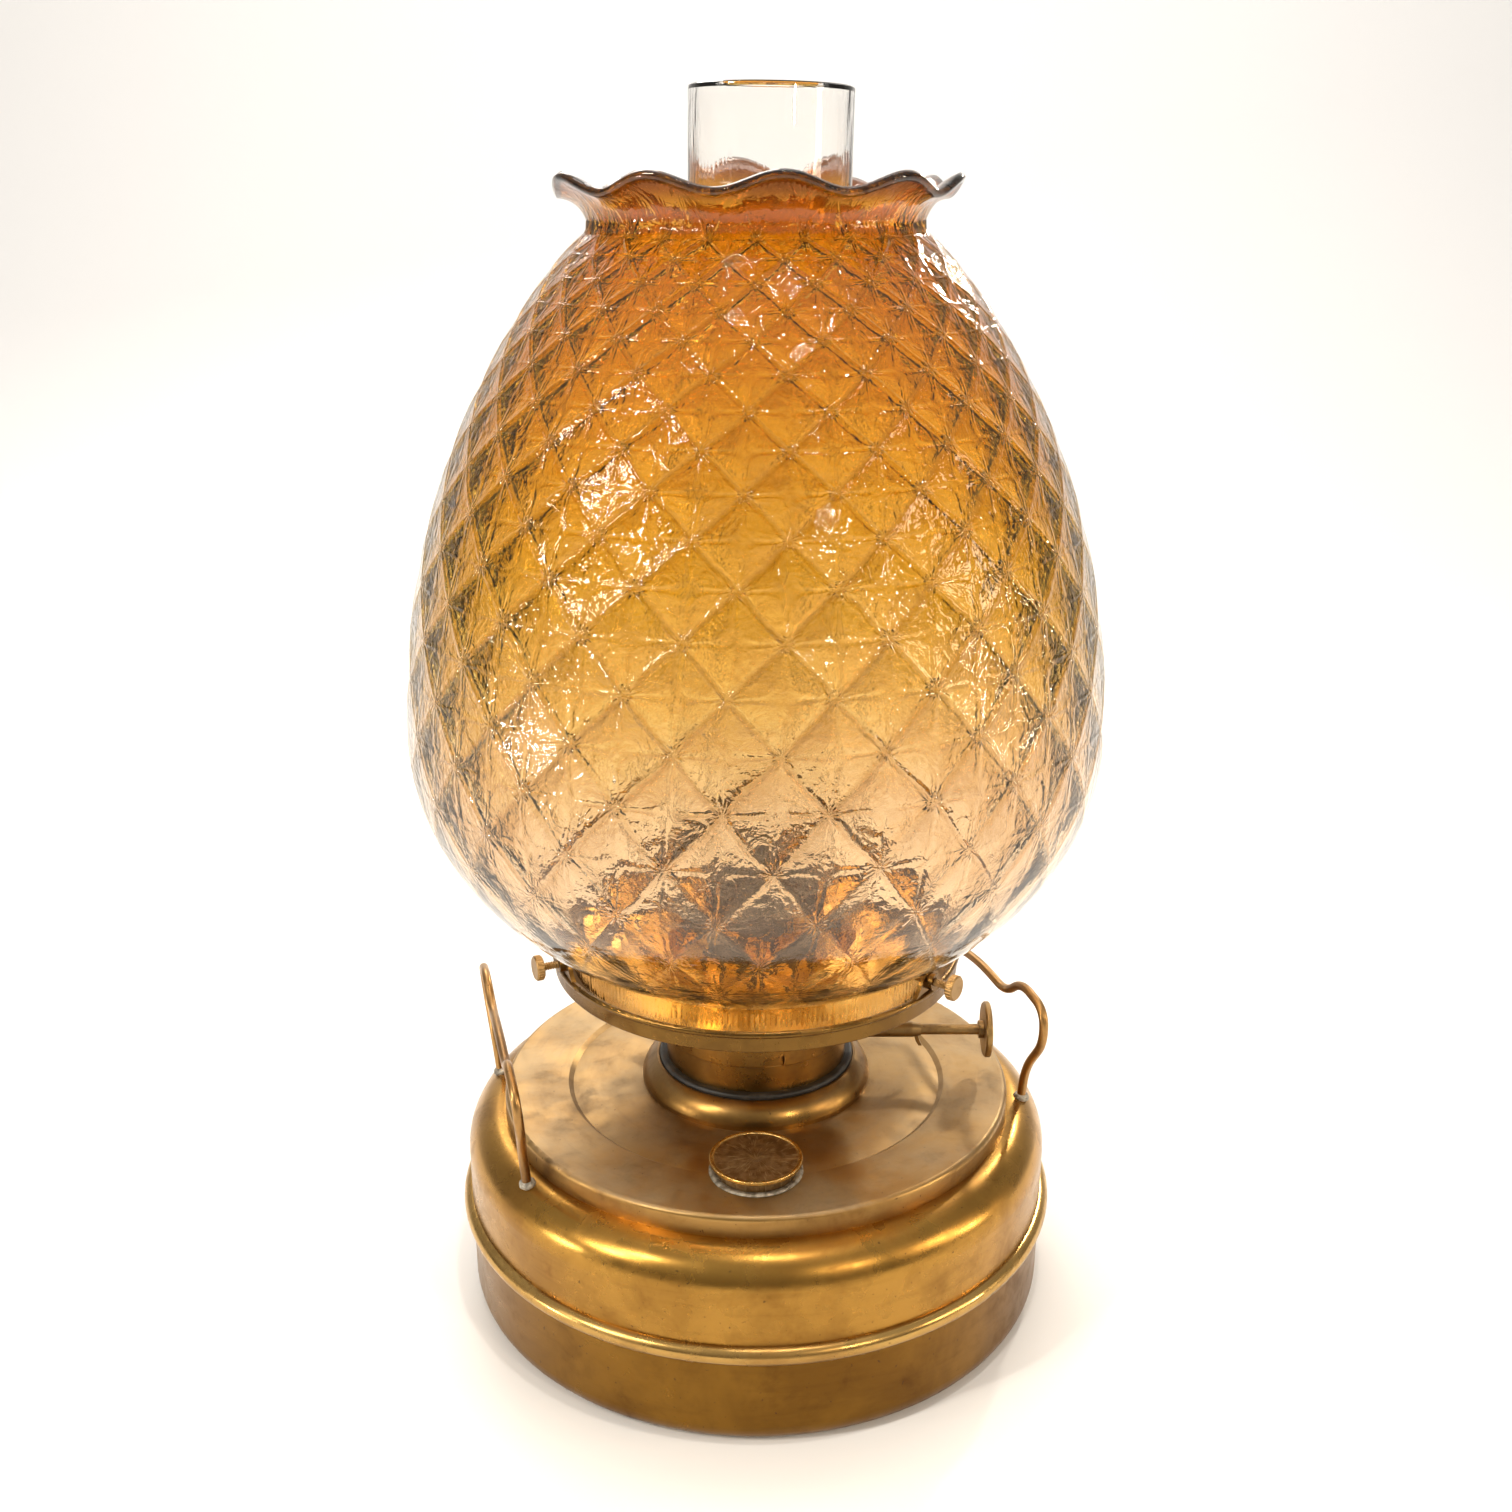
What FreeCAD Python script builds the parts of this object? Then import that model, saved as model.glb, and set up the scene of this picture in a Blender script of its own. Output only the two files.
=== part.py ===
import FreeCAD, Part
import math
import os
import Sketcher

# Table oil lamp: a drum-shaped brass fuel tank, a round-wick burner, a glass chimney and a glass shade
# held by three thumb screws. Millimetres, +Z up, the origin at the middle of the flat base.

os.makedirs("parts", exist_ok=True)
document = FreeCAD.newDocument("oil_lamp")

# ---------------------------------------------------------------- driving dimensions
dimensions = {
    # fuel tank
    "tank_radius": 97.2,
    "sheet_thickness": 0.8,
    "base_corner": 7.0,
    "seam_height": 33.0,
    "seam_half_width": 3.0,
    "seam_reach": 2.8,
    "shoulder_height": 64.0,
    "shoulder_corner": 12.0,
    "plate_inset": 12.7,
    "plate_rise": 7.0,
    "plate_corner": 1.6,
    "plate_overlap": 4.0,
    "plate_hole_margin": 3.0,
    "dish_outer_radius": 63.4,
    "dish_inner_radius": 49.0,
    "dish_depth": 1.2,
    "dish_step": 1.6,
    # burner seat on the tank
    "collar_flare": 4.9,
    "collar_lip_width": 6.3,
    "collar_height": 8.0,
    "collar_wall": 2.0,
    "collar_skirt": 1.0,
    "burner_flange": 2.8,
    "thread_depth": 9.0,
    "thread_gap": 0.3,
    "seal_height": 4.4,
    "seal_recess": 3.0,
    # filler
    "filler_distance": 60.0,
    "filler_neck_radius": 10.8,
    "filler_neck_height": 2.2,
    "filler_neck_wall": 1.2,
    "filler_neck_depth": 5.0,
    "filler_fit_gap": 0.05,
    "cap_radius": 14.3,
    "cap_skirt_radius": 12.2,
    "cap_height": 5.1,
    "gasket_thickness": 1.0,
    "solder_width": 3.6,
    "solder_lift": 0.02,
    # wire handles
    "handle_wire_radius": 1.5,
    "handle_foot_inset": 7.2,
    "handle_span": 70.8,
    "handle_rise": 36.0,
    "handle_right_angle": 20.5,
    "handle_left_angle": 195.0,
    "handle_right_lean": 1.5,
    "handle_left_lean": 5.0,
    # burner
    "burner_radius": 30.0,
    "burner_band_height": 9.0,
    "gallery_ring_wall": 1.2,
    "gallery_ring_height": 7.6,
    "stud_radius": 1.2,
    "stud_rise": 3.2,
    "slot_width": 6.4,
    "slot_height": 4.0,
    "slot_angle": -79.0,
    "locked_angle": 30.0,
    "wick_tube_radius": 20.2,
    "wick_tube_height": 56.6,
    "tube_wall": 0.6,
    "wick_thickness": 2.6,
    "wick_gap": 0.4,
    "wick_tail_inset": 1.6,
    "wick_tail_bottom": 10.0,
    "wick_rise": 10.0,
    "wick_drop": 6.0,
    "wick_clearance": 0.5,
    "wick_lap": 2.5,
    "wick_end_rise": 0.8,
    # winder
    "spindle_radius": 1.8,
    "spindle_rise": 6.3,
    "running_gap": 0.05,
    "star_wheel_radius": 3.2,
    "wheel_gap": 0.3,
    "sleeve_radius": 2.6,
    "sleeve_length": 25.5,
    "knob_radius": 9.35,
    "knob_thickness": 2.8,
    "knob_distance": 76.6,
    # chimney and its gallery
    "chimney_base_radius": 31.0,
    "chimney_tube_radius": 23.3,
    "chimney_wall": 1.7,
    "chimney_seat_rise": 15.0,
    "chimney_base_height": 48.0,
    "chimney_shoulder_height": 18.0,
    "chimney_height": 269.3,
    "coronet_gap": 0.35,
    "coronet_height": 14.0,
    "coronet_wall": 0.7,
    "coronet_ledge": 3.2,
    "coronet_fingers": 20,
    # shade holder
    "holder_gap": 4.3,
    "holder_rise": 17.8,
    "holder_depth": 6.9,
    "holder_bead": 1.1,
    "holder_rim_wall": 1.4,
    "seat_gap": 0.3,
    "screw_rise": 2.9,
    "screw_angle": 84.0,
    "screw_radius": 1.3,
    "screw_head_radius": 4.0,
    "screw_head_thickness": 2.6,
    "screw_head_reach": 6.8,
    # shade
    "shade_lip_radius": 60.5,
    "shade_belly_radius": 107.4,
    "shade_neck_radius": 48.0,
    "shade_rim_radius": 58.3,
    "shade_wall": 2.6,
    "shade_lip_height": 11.1,
    "shade_belly_height": 80.1,
    "shade_neck_height": 227.1,
    "shade_rim_height": 239.6,
}

sheet = document.addObject("Spreadsheet::Sheet", "sizes")
for row, (alias, number) in enumerate(dimensions.items(), 1):
    sheet.set(f"A{row}", alias.replace("_", " "))
    sheet.set(f"B{row}", str(number))
    sheet.setAlias(f"B{row}", alias)
document.recompute()


class Size:
    """A number together with the spreadsheet expression that it comes from."""

    def __init__(self, value, text):
        self.value = value
        self.text = text

    def __add__(self, other):
        other = as_size(other)
        return Size(self.value + other.value, f"({self.text} + {other.text})")

    def __sub__(self, other):
        other = as_size(other)
        return Size(self.value - other.value, f"({self.text} - {other.text})")

    def __mul__(self, other):
        other = as_size(other)
        return Size(self.value * other.value, f"({self.text} * {other.text})")

    def __truediv__(self, other):
        other = as_size(other)
        return Size(self.value / other.value, f"({self.text} / {other.text})")

    def __neg__(self):
        return Size(-self.value, f"(0 - {self.text})")

    __radd__ = __add__


def as_size(thing):
    if isinstance(thing, Size):
        return thing
    return Size(float(thing), f"{thing}")


def size(alias):
    return Size(float(sheet.get(alias)), f"{sheet.Name}.{alias}")


def number(alias):
    return size(alias).value


# ---------------------------------------------------------------- drawing helpers
bodies = []


def new_body(label):
    body = document.addObject("PartDesign::Body", label)
    body.Label = label
    bodies.append(body)
    return body


def new_feature(label, shape, angle=0):
    """A piece whose free-form shape is worked out from the sheet in code, turned about the axis."""
    feature = document.addObject("Part::Feature", label)
    feature.Label = label
    feature.Shape = shape
    feature.Placement.Rotation = FreeCAD.Rotation(FreeCAD.Vector(0, 0, 1), angle)
    bodies.append(feature)
    return feature


def new_sketch(body, name, plane, offset=None):
    """A sketch on one of the body's own origin planes, moved out along its normal by offset."""
    sketch = body.newObject("Sketcher::SketchObject", name)
    support = [item for item in body.Origin.OriginFeatures if item.Role == plane][0]
    sketch.AttachmentSupport = (support, [""])
    sketch.MapMode = "FlatFace"
    if offset is not None:
        sketch.setExpression("AttachmentOffset.Base.z", as_size(offset).text)
    return sketch


def arc_middle(start, end, radius, turn):
    """The middle of an arc that turns left or right on its way from start to end."""
    along = end - start
    sagitta = radius - math.sqrt(max(radius * radius - along.Length * along.Length / 4, 0))
    side = FreeCAD.Vector(along.y, -along.x, 0).normalize()
    if turn == "right":
        side = -side
    return (start + end) / 2 + side * sagitta


def pin_point(sketch, edge, position, point, name):
    """Constraints that hold one end of an edge at a point, and their expressions."""
    constraints = []
    expressions = []
    for kind, axis, coordinate in (("DistanceX", -2, point[0]), ("DistanceY", -1, point[1])):
        if coordinate.value == 0:
            constraints.append(Sketcher.Constraint("PointOnObject", edge, position, axis))
            expressions.append(None)
        else:
            constraints.append(Sketcher.Constraint(kind, -1, 1, edge, position, coordinate.value))
            expressions.append((f"{name}_{kind[-1]}", coordinate.text))
    return constraints, expressions


def draw_outline(sketch, outline):
    """A closed outline of lines and arcs. A corner is (across, up), and an arc that ends at a
    corner adds its radius and the way it turns: (across, up, radius, "left")."""
    corners = [(as_size(corner[0]), as_size(corner[1])) for corner in outline]
    places = [FreeCAD.Vector(across.value, up.value, 0) for across, up in corners]
    ends = []
    constraints = []
    expressions = []
    for index, start in enumerate(places):
        following = (index + 1) % len(places)
        end = places[following]
        if len(outline[following]) > 2:
            radius = as_size(outline[following][2])
            turn = outline[following][3]
            middle = arc_middle(start, end, radius.value, turn)
            first, last = (start, end) if turn == "left" else (end, start)
            edge = sketch.addGeometry(Part.Arc(first, middle, last), False)
            ends.append((edge, 1, 2) if turn == "left" else (edge, 2, 1))
            constraints.append(Sketcher.Constraint("Radius", edge, radius.value))
            expressions.append((f"arc_{index}", radius.text))
        else:
            edge = sketch.addGeometry(Part.LineSegment(start, end), False)
            ends.append((edge, 1, 2))
    for index, (edge, first, last) in enumerate(ends):
        next_edge, next_first, next_last = ends[(index + 1) % len(ends)]
        constraints.append(Sketcher.Constraint("Coincident", edge, last, next_edge, next_first))
        expressions.append(None)
        pins, texts = pin_point(sketch, edge, first, corners[index], f"corner_{index}")
        constraints += pins
        expressions += texts
    add_constraints(sketch, constraints, expressions)


def draw_circle(sketch, across, up, radius):
    """One circle, placed and sized from the sheet."""
    across, up, radius = as_size(across), as_size(up), as_size(radius)
    centre = FreeCAD.Vector(across.value, up.value, 0)
    edge = sketch.addGeometry(Part.Circle(centre, FreeCAD.Vector(0, 0, 1), radius.value), False)
    constraints, expressions = pin_point(sketch, edge, 3, (across, up), f"centre_{edge}")
    constraints.append(Sketcher.Constraint("Radius", edge, radius.value))
    expressions.append((f"radius_{edge}", radius.text))
    add_constraints(sketch, constraints, expressions)


def add_constraints(sketch, constraints, expressions):
    first = sketch.ConstraintCount
    sketch.addConstraint(constraints)
    for index, expression in enumerate(expressions, first):
        if expression:
            sketch.renameConstraint(index, expression[0])
            sketch.setExpression(f"Constraints.{expression[0]}", expression[1])


def turn_profile(body, name, outline, kind="Revolution"):
    """Turn an outline of (radius, height) corners about the body's Z axis."""
    sketch = new_sketch(body, f"{name}_outline", "XZ_Plane")
    draw_outline(sketch, outline)
    feature = body.newObject(f"PartDesign::{kind}", name)
    feature.Profile = sketch
    feature.ReferenceAxis = (sketch, ["V_Axis"])
    feature.Angle = 360
    sketch.Visibility = False
    return feature


def turned(label, outline):
    body = new_body(label)
    turn_profile(body, f"{label}_turning", outline)
    return body


def extrude(body, name, sketch, length, kind="Pad", both_ways=False, backwards=False):
    feature = body.newObject(f"PartDesign::{kind}", name)
    feature.Profile = sketch
    feature.Type = "Length"
    feature.setExpression("Length", as_size(length).text)
    feature.SideType = "Symmetric" if both_ways else "One side"
    feature.Reversed = backwards
    sketch.Visibility = False
    return feature


def repeat_round(body, name, features, count):
    """Repeat features evenly about the body's Z axis."""
    pattern = body.newObject("PartDesign::PolarPattern", name)
    pattern.Originals = features
    axis = [item for item in body.Origin.OriginFeatures if item.Role == "Z_Axis"][0]
    pattern.Axis = (axis, [""])
    pattern.Angle = 360
    pattern.Occurrences = count
    body.Tip = pattern
    return pattern


def rectangle(left, right, bottom, top):
    return [(left, bottom), (right, bottom), (right, top), (left, top)]


def turn_body(body, angle):
    """Turn a finished piece about the lamp's axis."""
    body.setExpression("Placement.Rotation.Angle", as_size(angle).text)
    body.Placement.Rotation.Axis = FreeCAD.Vector(0, 0, 1)


# ---------------------------------------------------------------- shared heights and radii
tank_radius = size("tank_radius")
sheet_thickness = size("sheet_thickness")
plate_radius = tank_radius - size("plate_inset")
shoulder_height = size("shoulder_height")
plate_top = shoulder_height + size("plate_rise")
burner_radius = size("burner_radius")
thread_radius = burner_radius - size("burner_flange")
collar_lip_radius = thread_radius + size("collar_lip_width")
collar_top = plate_top + size("collar_height")
seal_bottom = collar_top - size("seal_recess")
seal_top = seal_bottom + size("seal_height")
band_top = seal_top + size("burner_band_height")
ring_top = band_top + size("gallery_ring_height")
ring_radius = burner_radius + size("gallery_ring_wall")
neck_top = plate_top + size("filler_neck_height")
spindle_height = seal_top + size("spindle_rise")
spindle_hole = size("spindle_radius") + size("running_gap")
tube_top = seal_top + size("wick_tube_height")
tube_outside = size("wick_tube_radius")
tube_inside = tube_outside - size("tube_wall")
wick_outside = tube_inside - size("wick_gap")
wick_inside = wick_outside - size("wick_thickness")
draught_outside = wick_inside - size("wick_gap")
draught_inside = draught_outside - size("tube_wall")
wick_ring_bottom = spindle_height + size("spindle_radius") + size("wick_drop") + size("wick_clearance")
wick_tail_top = wick_ring_bottom + size("wick_lap")
wick_tail_half = tube_inside - size("wick_tail_inset")
wick_face = size("star_wheel_radius") + size("wheel_gap")
draught_bottom = wick_tail_top + size("wick_rise") + size("wick_clearance")
coronet_inside = size("chimney_base_radius") + size("coronet_gap")
coronet_outside = coronet_inside + size("coronet_wall")
chimney_seat = ring_top + size("chimney_seat_rise")
chimney_top = chimney_seat + size("chimney_height")
holder_inside = size("shade_lip_radius") + size("holder_gap")
holder_radius = holder_inside + size("holder_rim_wall")
holder_bottom = ring_top + size("holder_rise")
holder_top = holder_bottom + size("holder_depth")
screw_height = holder_top + size("screw_rise")
shade_bottom = holder_bottom + sheet_thickness + size("seat_gap")
neck_step = 0.25
knob_bite = 0.4
wire_sink = 0.6


# ---------------------------------------------------------------- fuel tank
def make_base_cup():
    """Bottom half of the tank: a flat disc with a rounded corner and a straight wall."""
    corner = size("base_corner")
    inner_corner = corner - sheet_thickness
    turned("tank_base_cup", [
        (0, 0),
        (tank_radius - corner, 0),
        (tank_radius, corner, corner, "left"),
        (tank_radius, size("seam_height")),
        (tank_radius - sheet_thickness, size("seam_height")),
        (tank_radius - sheet_thickness, corner),
        (tank_radius - corner, sheet_thickness, inner_corner, "right"),
        (0, sheet_thickness),
    ])


def make_upper_shell():
    """Top half of the tank: a straight wall and a rounded shoulder with a flange under the plate."""
    corner = size("shoulder_corner")
    wall_top = shoulder_height - corner
    flange = plate_radius - size("plate_overlap")
    turned("tank_upper_shell", [
        (tank_radius, size("seam_height")),
        (tank_radius, wall_top),
        (tank_radius - corner, shoulder_height, corner, "left"),
        (flange, shoulder_height),
        (flange, shoulder_height - sheet_thickness),
        (tank_radius - corner, shoulder_height - sheet_thickness),
        (tank_radius - sheet_thickness, wall_top, corner - sheet_thickness, "right"),
        (tank_radius - sheet_thickness, size("seam_height")),
    ])


def make_seam_bead():
    """Half-round bead that covers the joint of the two tank halves."""
    half = size("seam_half_width")
    reach = size("seam_reach")
    bulge = (half * half + reach * reach) / (reach * 2)
    turned("tank_seam_bead", [
        (tank_radius, size("seam_height") - half),
        (tank_radius + reach, size("seam_height"), bulge, "left"),
        (tank_radius, size("seam_height") + half, bulge, "left"),
    ])


def make_top_plate():
    """Raised disc on the shoulder, with a shallow dish pressed round the burner."""
    radius = plate_radius
    corner = size("plate_corner")
    dish_outer = size("dish_outer_radius")
    dish_inner = size("dish_inner_radius")
    dish_edge = dish_outer - size("dish_step")
    dish_floor = plate_top - size("dish_depth")
    hole = thread_radius + size("plate_hole_margin")
    dish_bend = as_size(60)
    label = "tank_top_plate"
    body = turned(label, [
        (hole, plate_top),
        (hole, plate_top - sheet_thickness),
        (dish_inner, plate_top - sheet_thickness),
        (dish_edge, dish_floor - sheet_thickness, dish_bend, "right"),
        (dish_outer, plate_top - sheet_thickness),
        (radius - corner, plate_top - sheet_thickness),
        (radius - sheet_thickness, plate_top - corner, corner - sheet_thickness, "right"),
        (radius - sheet_thickness, shoulder_height),
        (radius, shoulder_height),
        (radius, plate_top - corner),
        (radius - corner, plate_top, corner, "left"),
        (dish_outer, plate_top),
        (dish_edge, dish_floor),
        (dish_inner, plate_top, dish_bend, "left"),
    ])
    sketch = new_sketch(body, "filler_hole_circle", "XY_Plane")
    draw_circle(sketch, 0, -size("filler_distance"), size("filler_neck_radius") + size("filler_fit_gap"))
    extrude(body, "filler_hole", sketch, plate_top * 2, "Pocket", both_ways=True)


def make_collar():
    """Flared brass foot with the burner's threaded seat."""
    lip = collar_lip_radius
    foot = lip + size("collar_flare")
    thread = thread_radius + size("thread_gap")
    outside = thread + size("collar_wall")
    sleeve_bottom = seal_bottom - size("thread_depth") - size("collar_skirt")
    turned("burner_collar", [
        (foot, plate_top),
        (foot, plate_top + 1.5),
        (lip, collar_top, 9.5, "left"),
        (lip - 0.7, collar_top),
        (lip - 0.7, seal_bottom),
        (thread, seal_bottom),
        (thread, sleeve_bottom),
        (outside, sleeve_bottom),
        (outside, plate_top),
    ])


def make_burner_seal():
    """Thick rubber washer in the collar."""
    inside = thread_radius + size("thread_gap")
    outside = collar_lip_radius - 1
    turned("burner_seal", [
        (inside, seal_bottom),
        (outside, seal_bottom),
        (outside, seal_top - 1),
        (outside - 1, seal_top, 1, "left"),
        (inside, seal_top),
    ])


# ---------------------------------------------------------------- filler
def place_at_filler(body):
    body.setExpression("Placement.Base.y", (-size("filler_distance")).text)


def make_filler_neck():
    """Short threaded tube soldered through the plate."""
    outside = size("filler_neck_radius")
    bore = outside - size("filler_neck_wall")
    bottom = plate_top - size("filler_neck_depth")
    ease = 0.3
    place_at_filler(turned("filler_neck", [
        (bore, bottom),
        (outside, bottom),
        (outside, neck_top - ease),
        (outside - ease, neck_top),
        (bore, neck_top),
    ]))


def make_filler_gasket():
    """Cork disc between the neck and the cap."""
    radius = size("filler_neck_radius")
    top = neck_top + size("gasket_thickness")
    place_at_filler(turned("filler_gasket", [(0, neck_top), (radius, neck_top), (radius, top), (0, top)]))


def make_filler_cap():
    """Screw cap with a thin raised rim, a sunk face and a narrower skirt."""
    radius = size("cap_radius")
    skirt = size("cap_skirt_radius")
    top = plate_top + size("cap_height")
    inside = size("filler_neck_radius") + size("thread_gap")
    underside = neck_top + size("gasket_thickness")
    above_plate = 0.4
    skirt_bottom = plate_top + above_plate
    face_sink = 0.7
    face = top - face_sink
    slot_half_length, slot_half_width, slot_depth = 5.5, 0.45, 0.5
    body = turned("filler_cap", [
        (0, face),
        (0, underside),
        (inside, underside),
        (inside, skirt_bottom),
        (skirt, skirt_bottom),
        (skirt, top - 2.2),
        (radius - 0.5, top - 1.4),
        (radius, top - 0.9),
        (radius, top - 0.4),
        (radius - 0.4, top, 0.4, "left"),
        (radius - 0.8, top),
        (radius - 1.5, face),
    ])
    slot = new_sketch(body, "coin_slot_outline", "XY_Plane", face)
    draw_outline(slot, rectangle(-slot_half_length, slot_half_length, -slot_half_width, slot_half_width))
    extrude(body, "coin_slot", slot, slot_depth, "Pocket")
    place_at_filler(body)


def make_filler_solder():
    """Ring of solder at the foot of the neck."""
    inside = size("filler_neck_radius")
    bottom = plate_top + size("solder_lift")
    place_at_filler(turned("filler_solder", [
        (inside, bottom),
        (inside + size("solder_width"), bottom),
        (inside, bottom + 0.33, 20, "right"),
    ]))


# ---------------------------------------------------------------- wire handles
def rounded_path(points):
    """Straight runs joined by tangent arcs, each as large as its two runs allow."""
    edges = []
    reached = points[0]
    for before, corner, after in zip(points, points[1:], points[2:]):
        run_in = corner - before
        run_out = after - corner
        turn = run_in.getAngle(run_out)
        reach = 0.45 * min(run_in.Length, run_out.Length)
        start = corner - run_in.normalize() * reach
        end = corner + run_out.normalize() * reach
        inward = (start + end) / 2 - corner
        radius = reach / math.tan(turn / 2)
        depth = radius / math.cos(turn / 2) - radius
        middle = corner + inward.normalize() * depth
        edges.append(Part.LineSegment(reached, start).toShape())
        edges.append(Part.Arc(start, middle, end).toShape())
        reached = end
    edges.append(Part.LineSegment(reached, points[-1]).toShape())
    return Part.Wire(edges)


def shoulder_surface(radius):
    """Height of the tank's rounded shoulder at a distance from the axis."""
    corner = number("shoulder_corner")
    inward = max(radius - (number("tank_radius") - corner), 0)
    return shoulder_height.value - corner + math.sqrt(max(corner * corner - inward * inward, 0))


def make_handle(label, angle, lean):
    """Bent wire loop: bulged sides, rounded shoulders and a nearly level middle."""
    span = number("handle_span")
    rise = number("handle_rise")
    half = span / 2
    foot = (tank_radius - size("handle_foot_inset")).value
    foot_height = shoulder_surface(foot) - wire_sink
    chord_distance = math.sqrt(foot * foot - half * half)
    one_side = [(0, 0), (1.5, 0.36), (11.0, 0.74), (9.6, 1.06), (-5.5, 1.14), (-15, 0.92)]
    corners = [(-half - out, rise * up) for out, up in one_side]
    corners.append((0, rise * 0.99))
    corners += [(-along, up) for along, up in reversed(corners[:-1])]
    lean_rate = math.tan(math.radians(lean))
    points = []
    for along, up in corners:
        points.append(FreeCAD.Vector(chord_distance + up * lean_rate, along, foot_height + up))
    path = rounded_path(points)
    radius = number("handle_wire_radius")
    section = Part.Wire(Part.makeCircle(radius, points[0], points[1] - points[0]))
    wire = path.makePipeShell([section], True, False, 2)
    new_feature(label, wire, angle)
    return [FreeCAD.Rotation(FreeCAD.Vector(0, 0, 1), angle).multVec(points[end]) for end in (0, -1)]


def make_handle_solder(feet):
    """Blobs of solder that hold the wire ends to the shoulder."""
    radius = number("handle_wire_radius") + 1.3
    lift, keep_radius, keep_height = 0.2, 6, 3
    blobs = []
    for foot in feet:
        blob = Part.makeSphere(radius, FreeCAD.Vector(foot.x, foot.y, foot.z + lift))
        surface = FreeCAD.Vector(foot.x, foot.y, foot.z - wire_sink)
        blobs.append(blob.common(Part.makeCylinder(keep_radius, keep_height, surface)))
    new_feature("handle_solder", Part.makeCompound(blobs))


# ---------------------------------------------------------------- burner
def make_burner_band():
    """Burner body: threaded skirt, flange on the seal and a plain band the spindle passes through."""
    thread = thread_radius
    neck = burner_radius - neck_step
    wall = burner_radius - sheet_thickness
    shoulder = 0.3
    ring_fillet = 1.5
    skirt_wall = 1
    body = turned("burner_band", [
        (thread - skirt_wall, seal_bottom - size("thread_depth")),
        (thread, seal_bottom - size("thread_depth")),
        (thread, seal_top),
        (burner_radius, seal_top),
        (burner_radius, band_top - shoulder),
        (neck, band_top),
        (neck, ring_top - ring_fillet),
        (wall, ring_top - ring_fillet),
        (wall, seal_top + sheet_thickness),
        (thread - skirt_wall, seal_top + sheet_thickness),
    ])
    drill_radial(body, "spindle_hole", spindle_height, spindle_hole, burner_radius + 5)


def drill_radial(body, name, height, radius, reach, both_ways=False):
    """A round hole along +X, or along both ways of X, at a height."""
    sketch = new_sketch(body, f"{name}_circle", "YZ_Plane")
    draw_circle(sketch, 0, height, radius)
    depth = reach * 2 if both_ways else reach
    extrude(body, name, sketch, depth, "Pocket", both_ways=both_ways, backwards=not both_ways)


def make_bayonet_studs():
    """Three studs on the burner band that run inside the gallery ring."""
    radius = number("stud_radius")
    start = burner_radius.value - neck_step
    ring_wall_and_play = 0.9
    reach = ring_radius.value - ring_wall_and_play - start
    height = band_top.value + number("stud_rise")
    studs = []
    for turn in range(3):
        angle = number("slot_angle") + number("locked_angle") + 120 * turn
        outward = FreeCAD.Rotation(FreeCAD.Vector(0, 0, 1), angle).multVec(FreeCAD.Vector(1, 0, 0))
        foot = outward * start + FreeCAD.Vector(0, 0, height)
        studs.append(Part.makeCylinder(radius, reach, foot, outward))
    new_feature("bayonet_studs", Part.makeCompound(studs))


def make_burner_floor():
    """Disc that closes the burner over the fuel, with a slot for the flat part of the wick."""
    play = 0.1
    radius = burner_radius - sheet_thickness - play
    bottom = seal_top + sheet_thickness
    body = turned("burner_floor", [
        (0, bottom),
        (radius, bottom),
        (radius, bottom + sheet_thickness),
        (0, bottom + sheet_thickness),
    ])
    sketch = new_sketch(body, "wick_slot_outline", "XY_Plane")
    half = wick_tail_half + size("wick_clearance")
    slot_play = 0.4
    far = -(wick_face + size("wick_thickness") + slot_play)
    draw_outline(sketch, rectangle(-half, half, far, -(wick_face - slot_play)))
    extrude(body, "wick_slot", sketch, bottom * 3, "Pocket", both_ways=True)


def make_outer_tube():
    """Outer wick tube, drilled for the spindle and for the draught duct."""
    bottom = seal_top + sheet_thickness * 2
    body = turned("outer_wick_tube", [
        (tube_inside, bottom),
        (tube_outside, bottom),
        (tube_outside, tube_top),
        (tube_inside, tube_top),
    ])
    drill_radial(body, "spindle_hole", spindle_height, spindle_hole, tube_outside + 5, both_ways=True)
    window = new_sketch(body, "duct_window_outline", "YZ_Plane")
    draw_outline(window, duct_outline(0))
    extrude(body, "duct_window", window, tube_outside + 5, "Pocket")


def duct_outline(inset):
    half_width, foot, height = as_size(5.5), 3, 12
    half = half_width - inset
    bottom = draught_bottom + foot
    return rectangle(-half, half, bottom + inset, bottom + height - inset)


def make_inner_tube():
    """Draught tube inside the round wick, closed below and fed with air by the side duct."""
    bottom = draught_bottom
    below_outer_tube = 0.5
    top = tube_top - below_outer_tube
    closed = bottom + size("tube_wall")
    body = turned("inner_draught_tube", [
        (0, bottom),
        (draught_outside, bottom),
        (draught_outside, top),
        (draught_inside, top),
        (draught_inside, closed),
        (0, closed),
    ])
    window = new_sketch(body, "duct_window_outline", "YZ_Plane")
    draw_outline(window, duct_outline(0))
    extrude(body, "duct_window", window, draught_outside + 5, "Pocket")


def make_draught_duct():
    """Small rectangular duct that joins the two tubes on the side away from the winder."""
    body = new_body("draught_duct")
    fit, wall = 0.05, 0.6
    past_outer_tube, past_inner_tube, passage = 0.6, 0.4, 20
    outside = new_sketch(body, "duct_outline", "YZ_Plane", -(tube_outside + past_outer_tube))
    draw_outline(outside, duct_outline(fit))
    extrude(body, "duct_block", outside, tube_outside + past_outer_tube - (draught_inside - past_inner_tube))
    inside = new_sketch(body, "duct_passage_outline", "YZ_Plane", -(tube_outside + 2))
    draw_outline(inside, duct_outline(fit + wall))
    extrude(body, "duct_passage", inside, as_size(passage), "Pocket", backwards=True)


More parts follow.
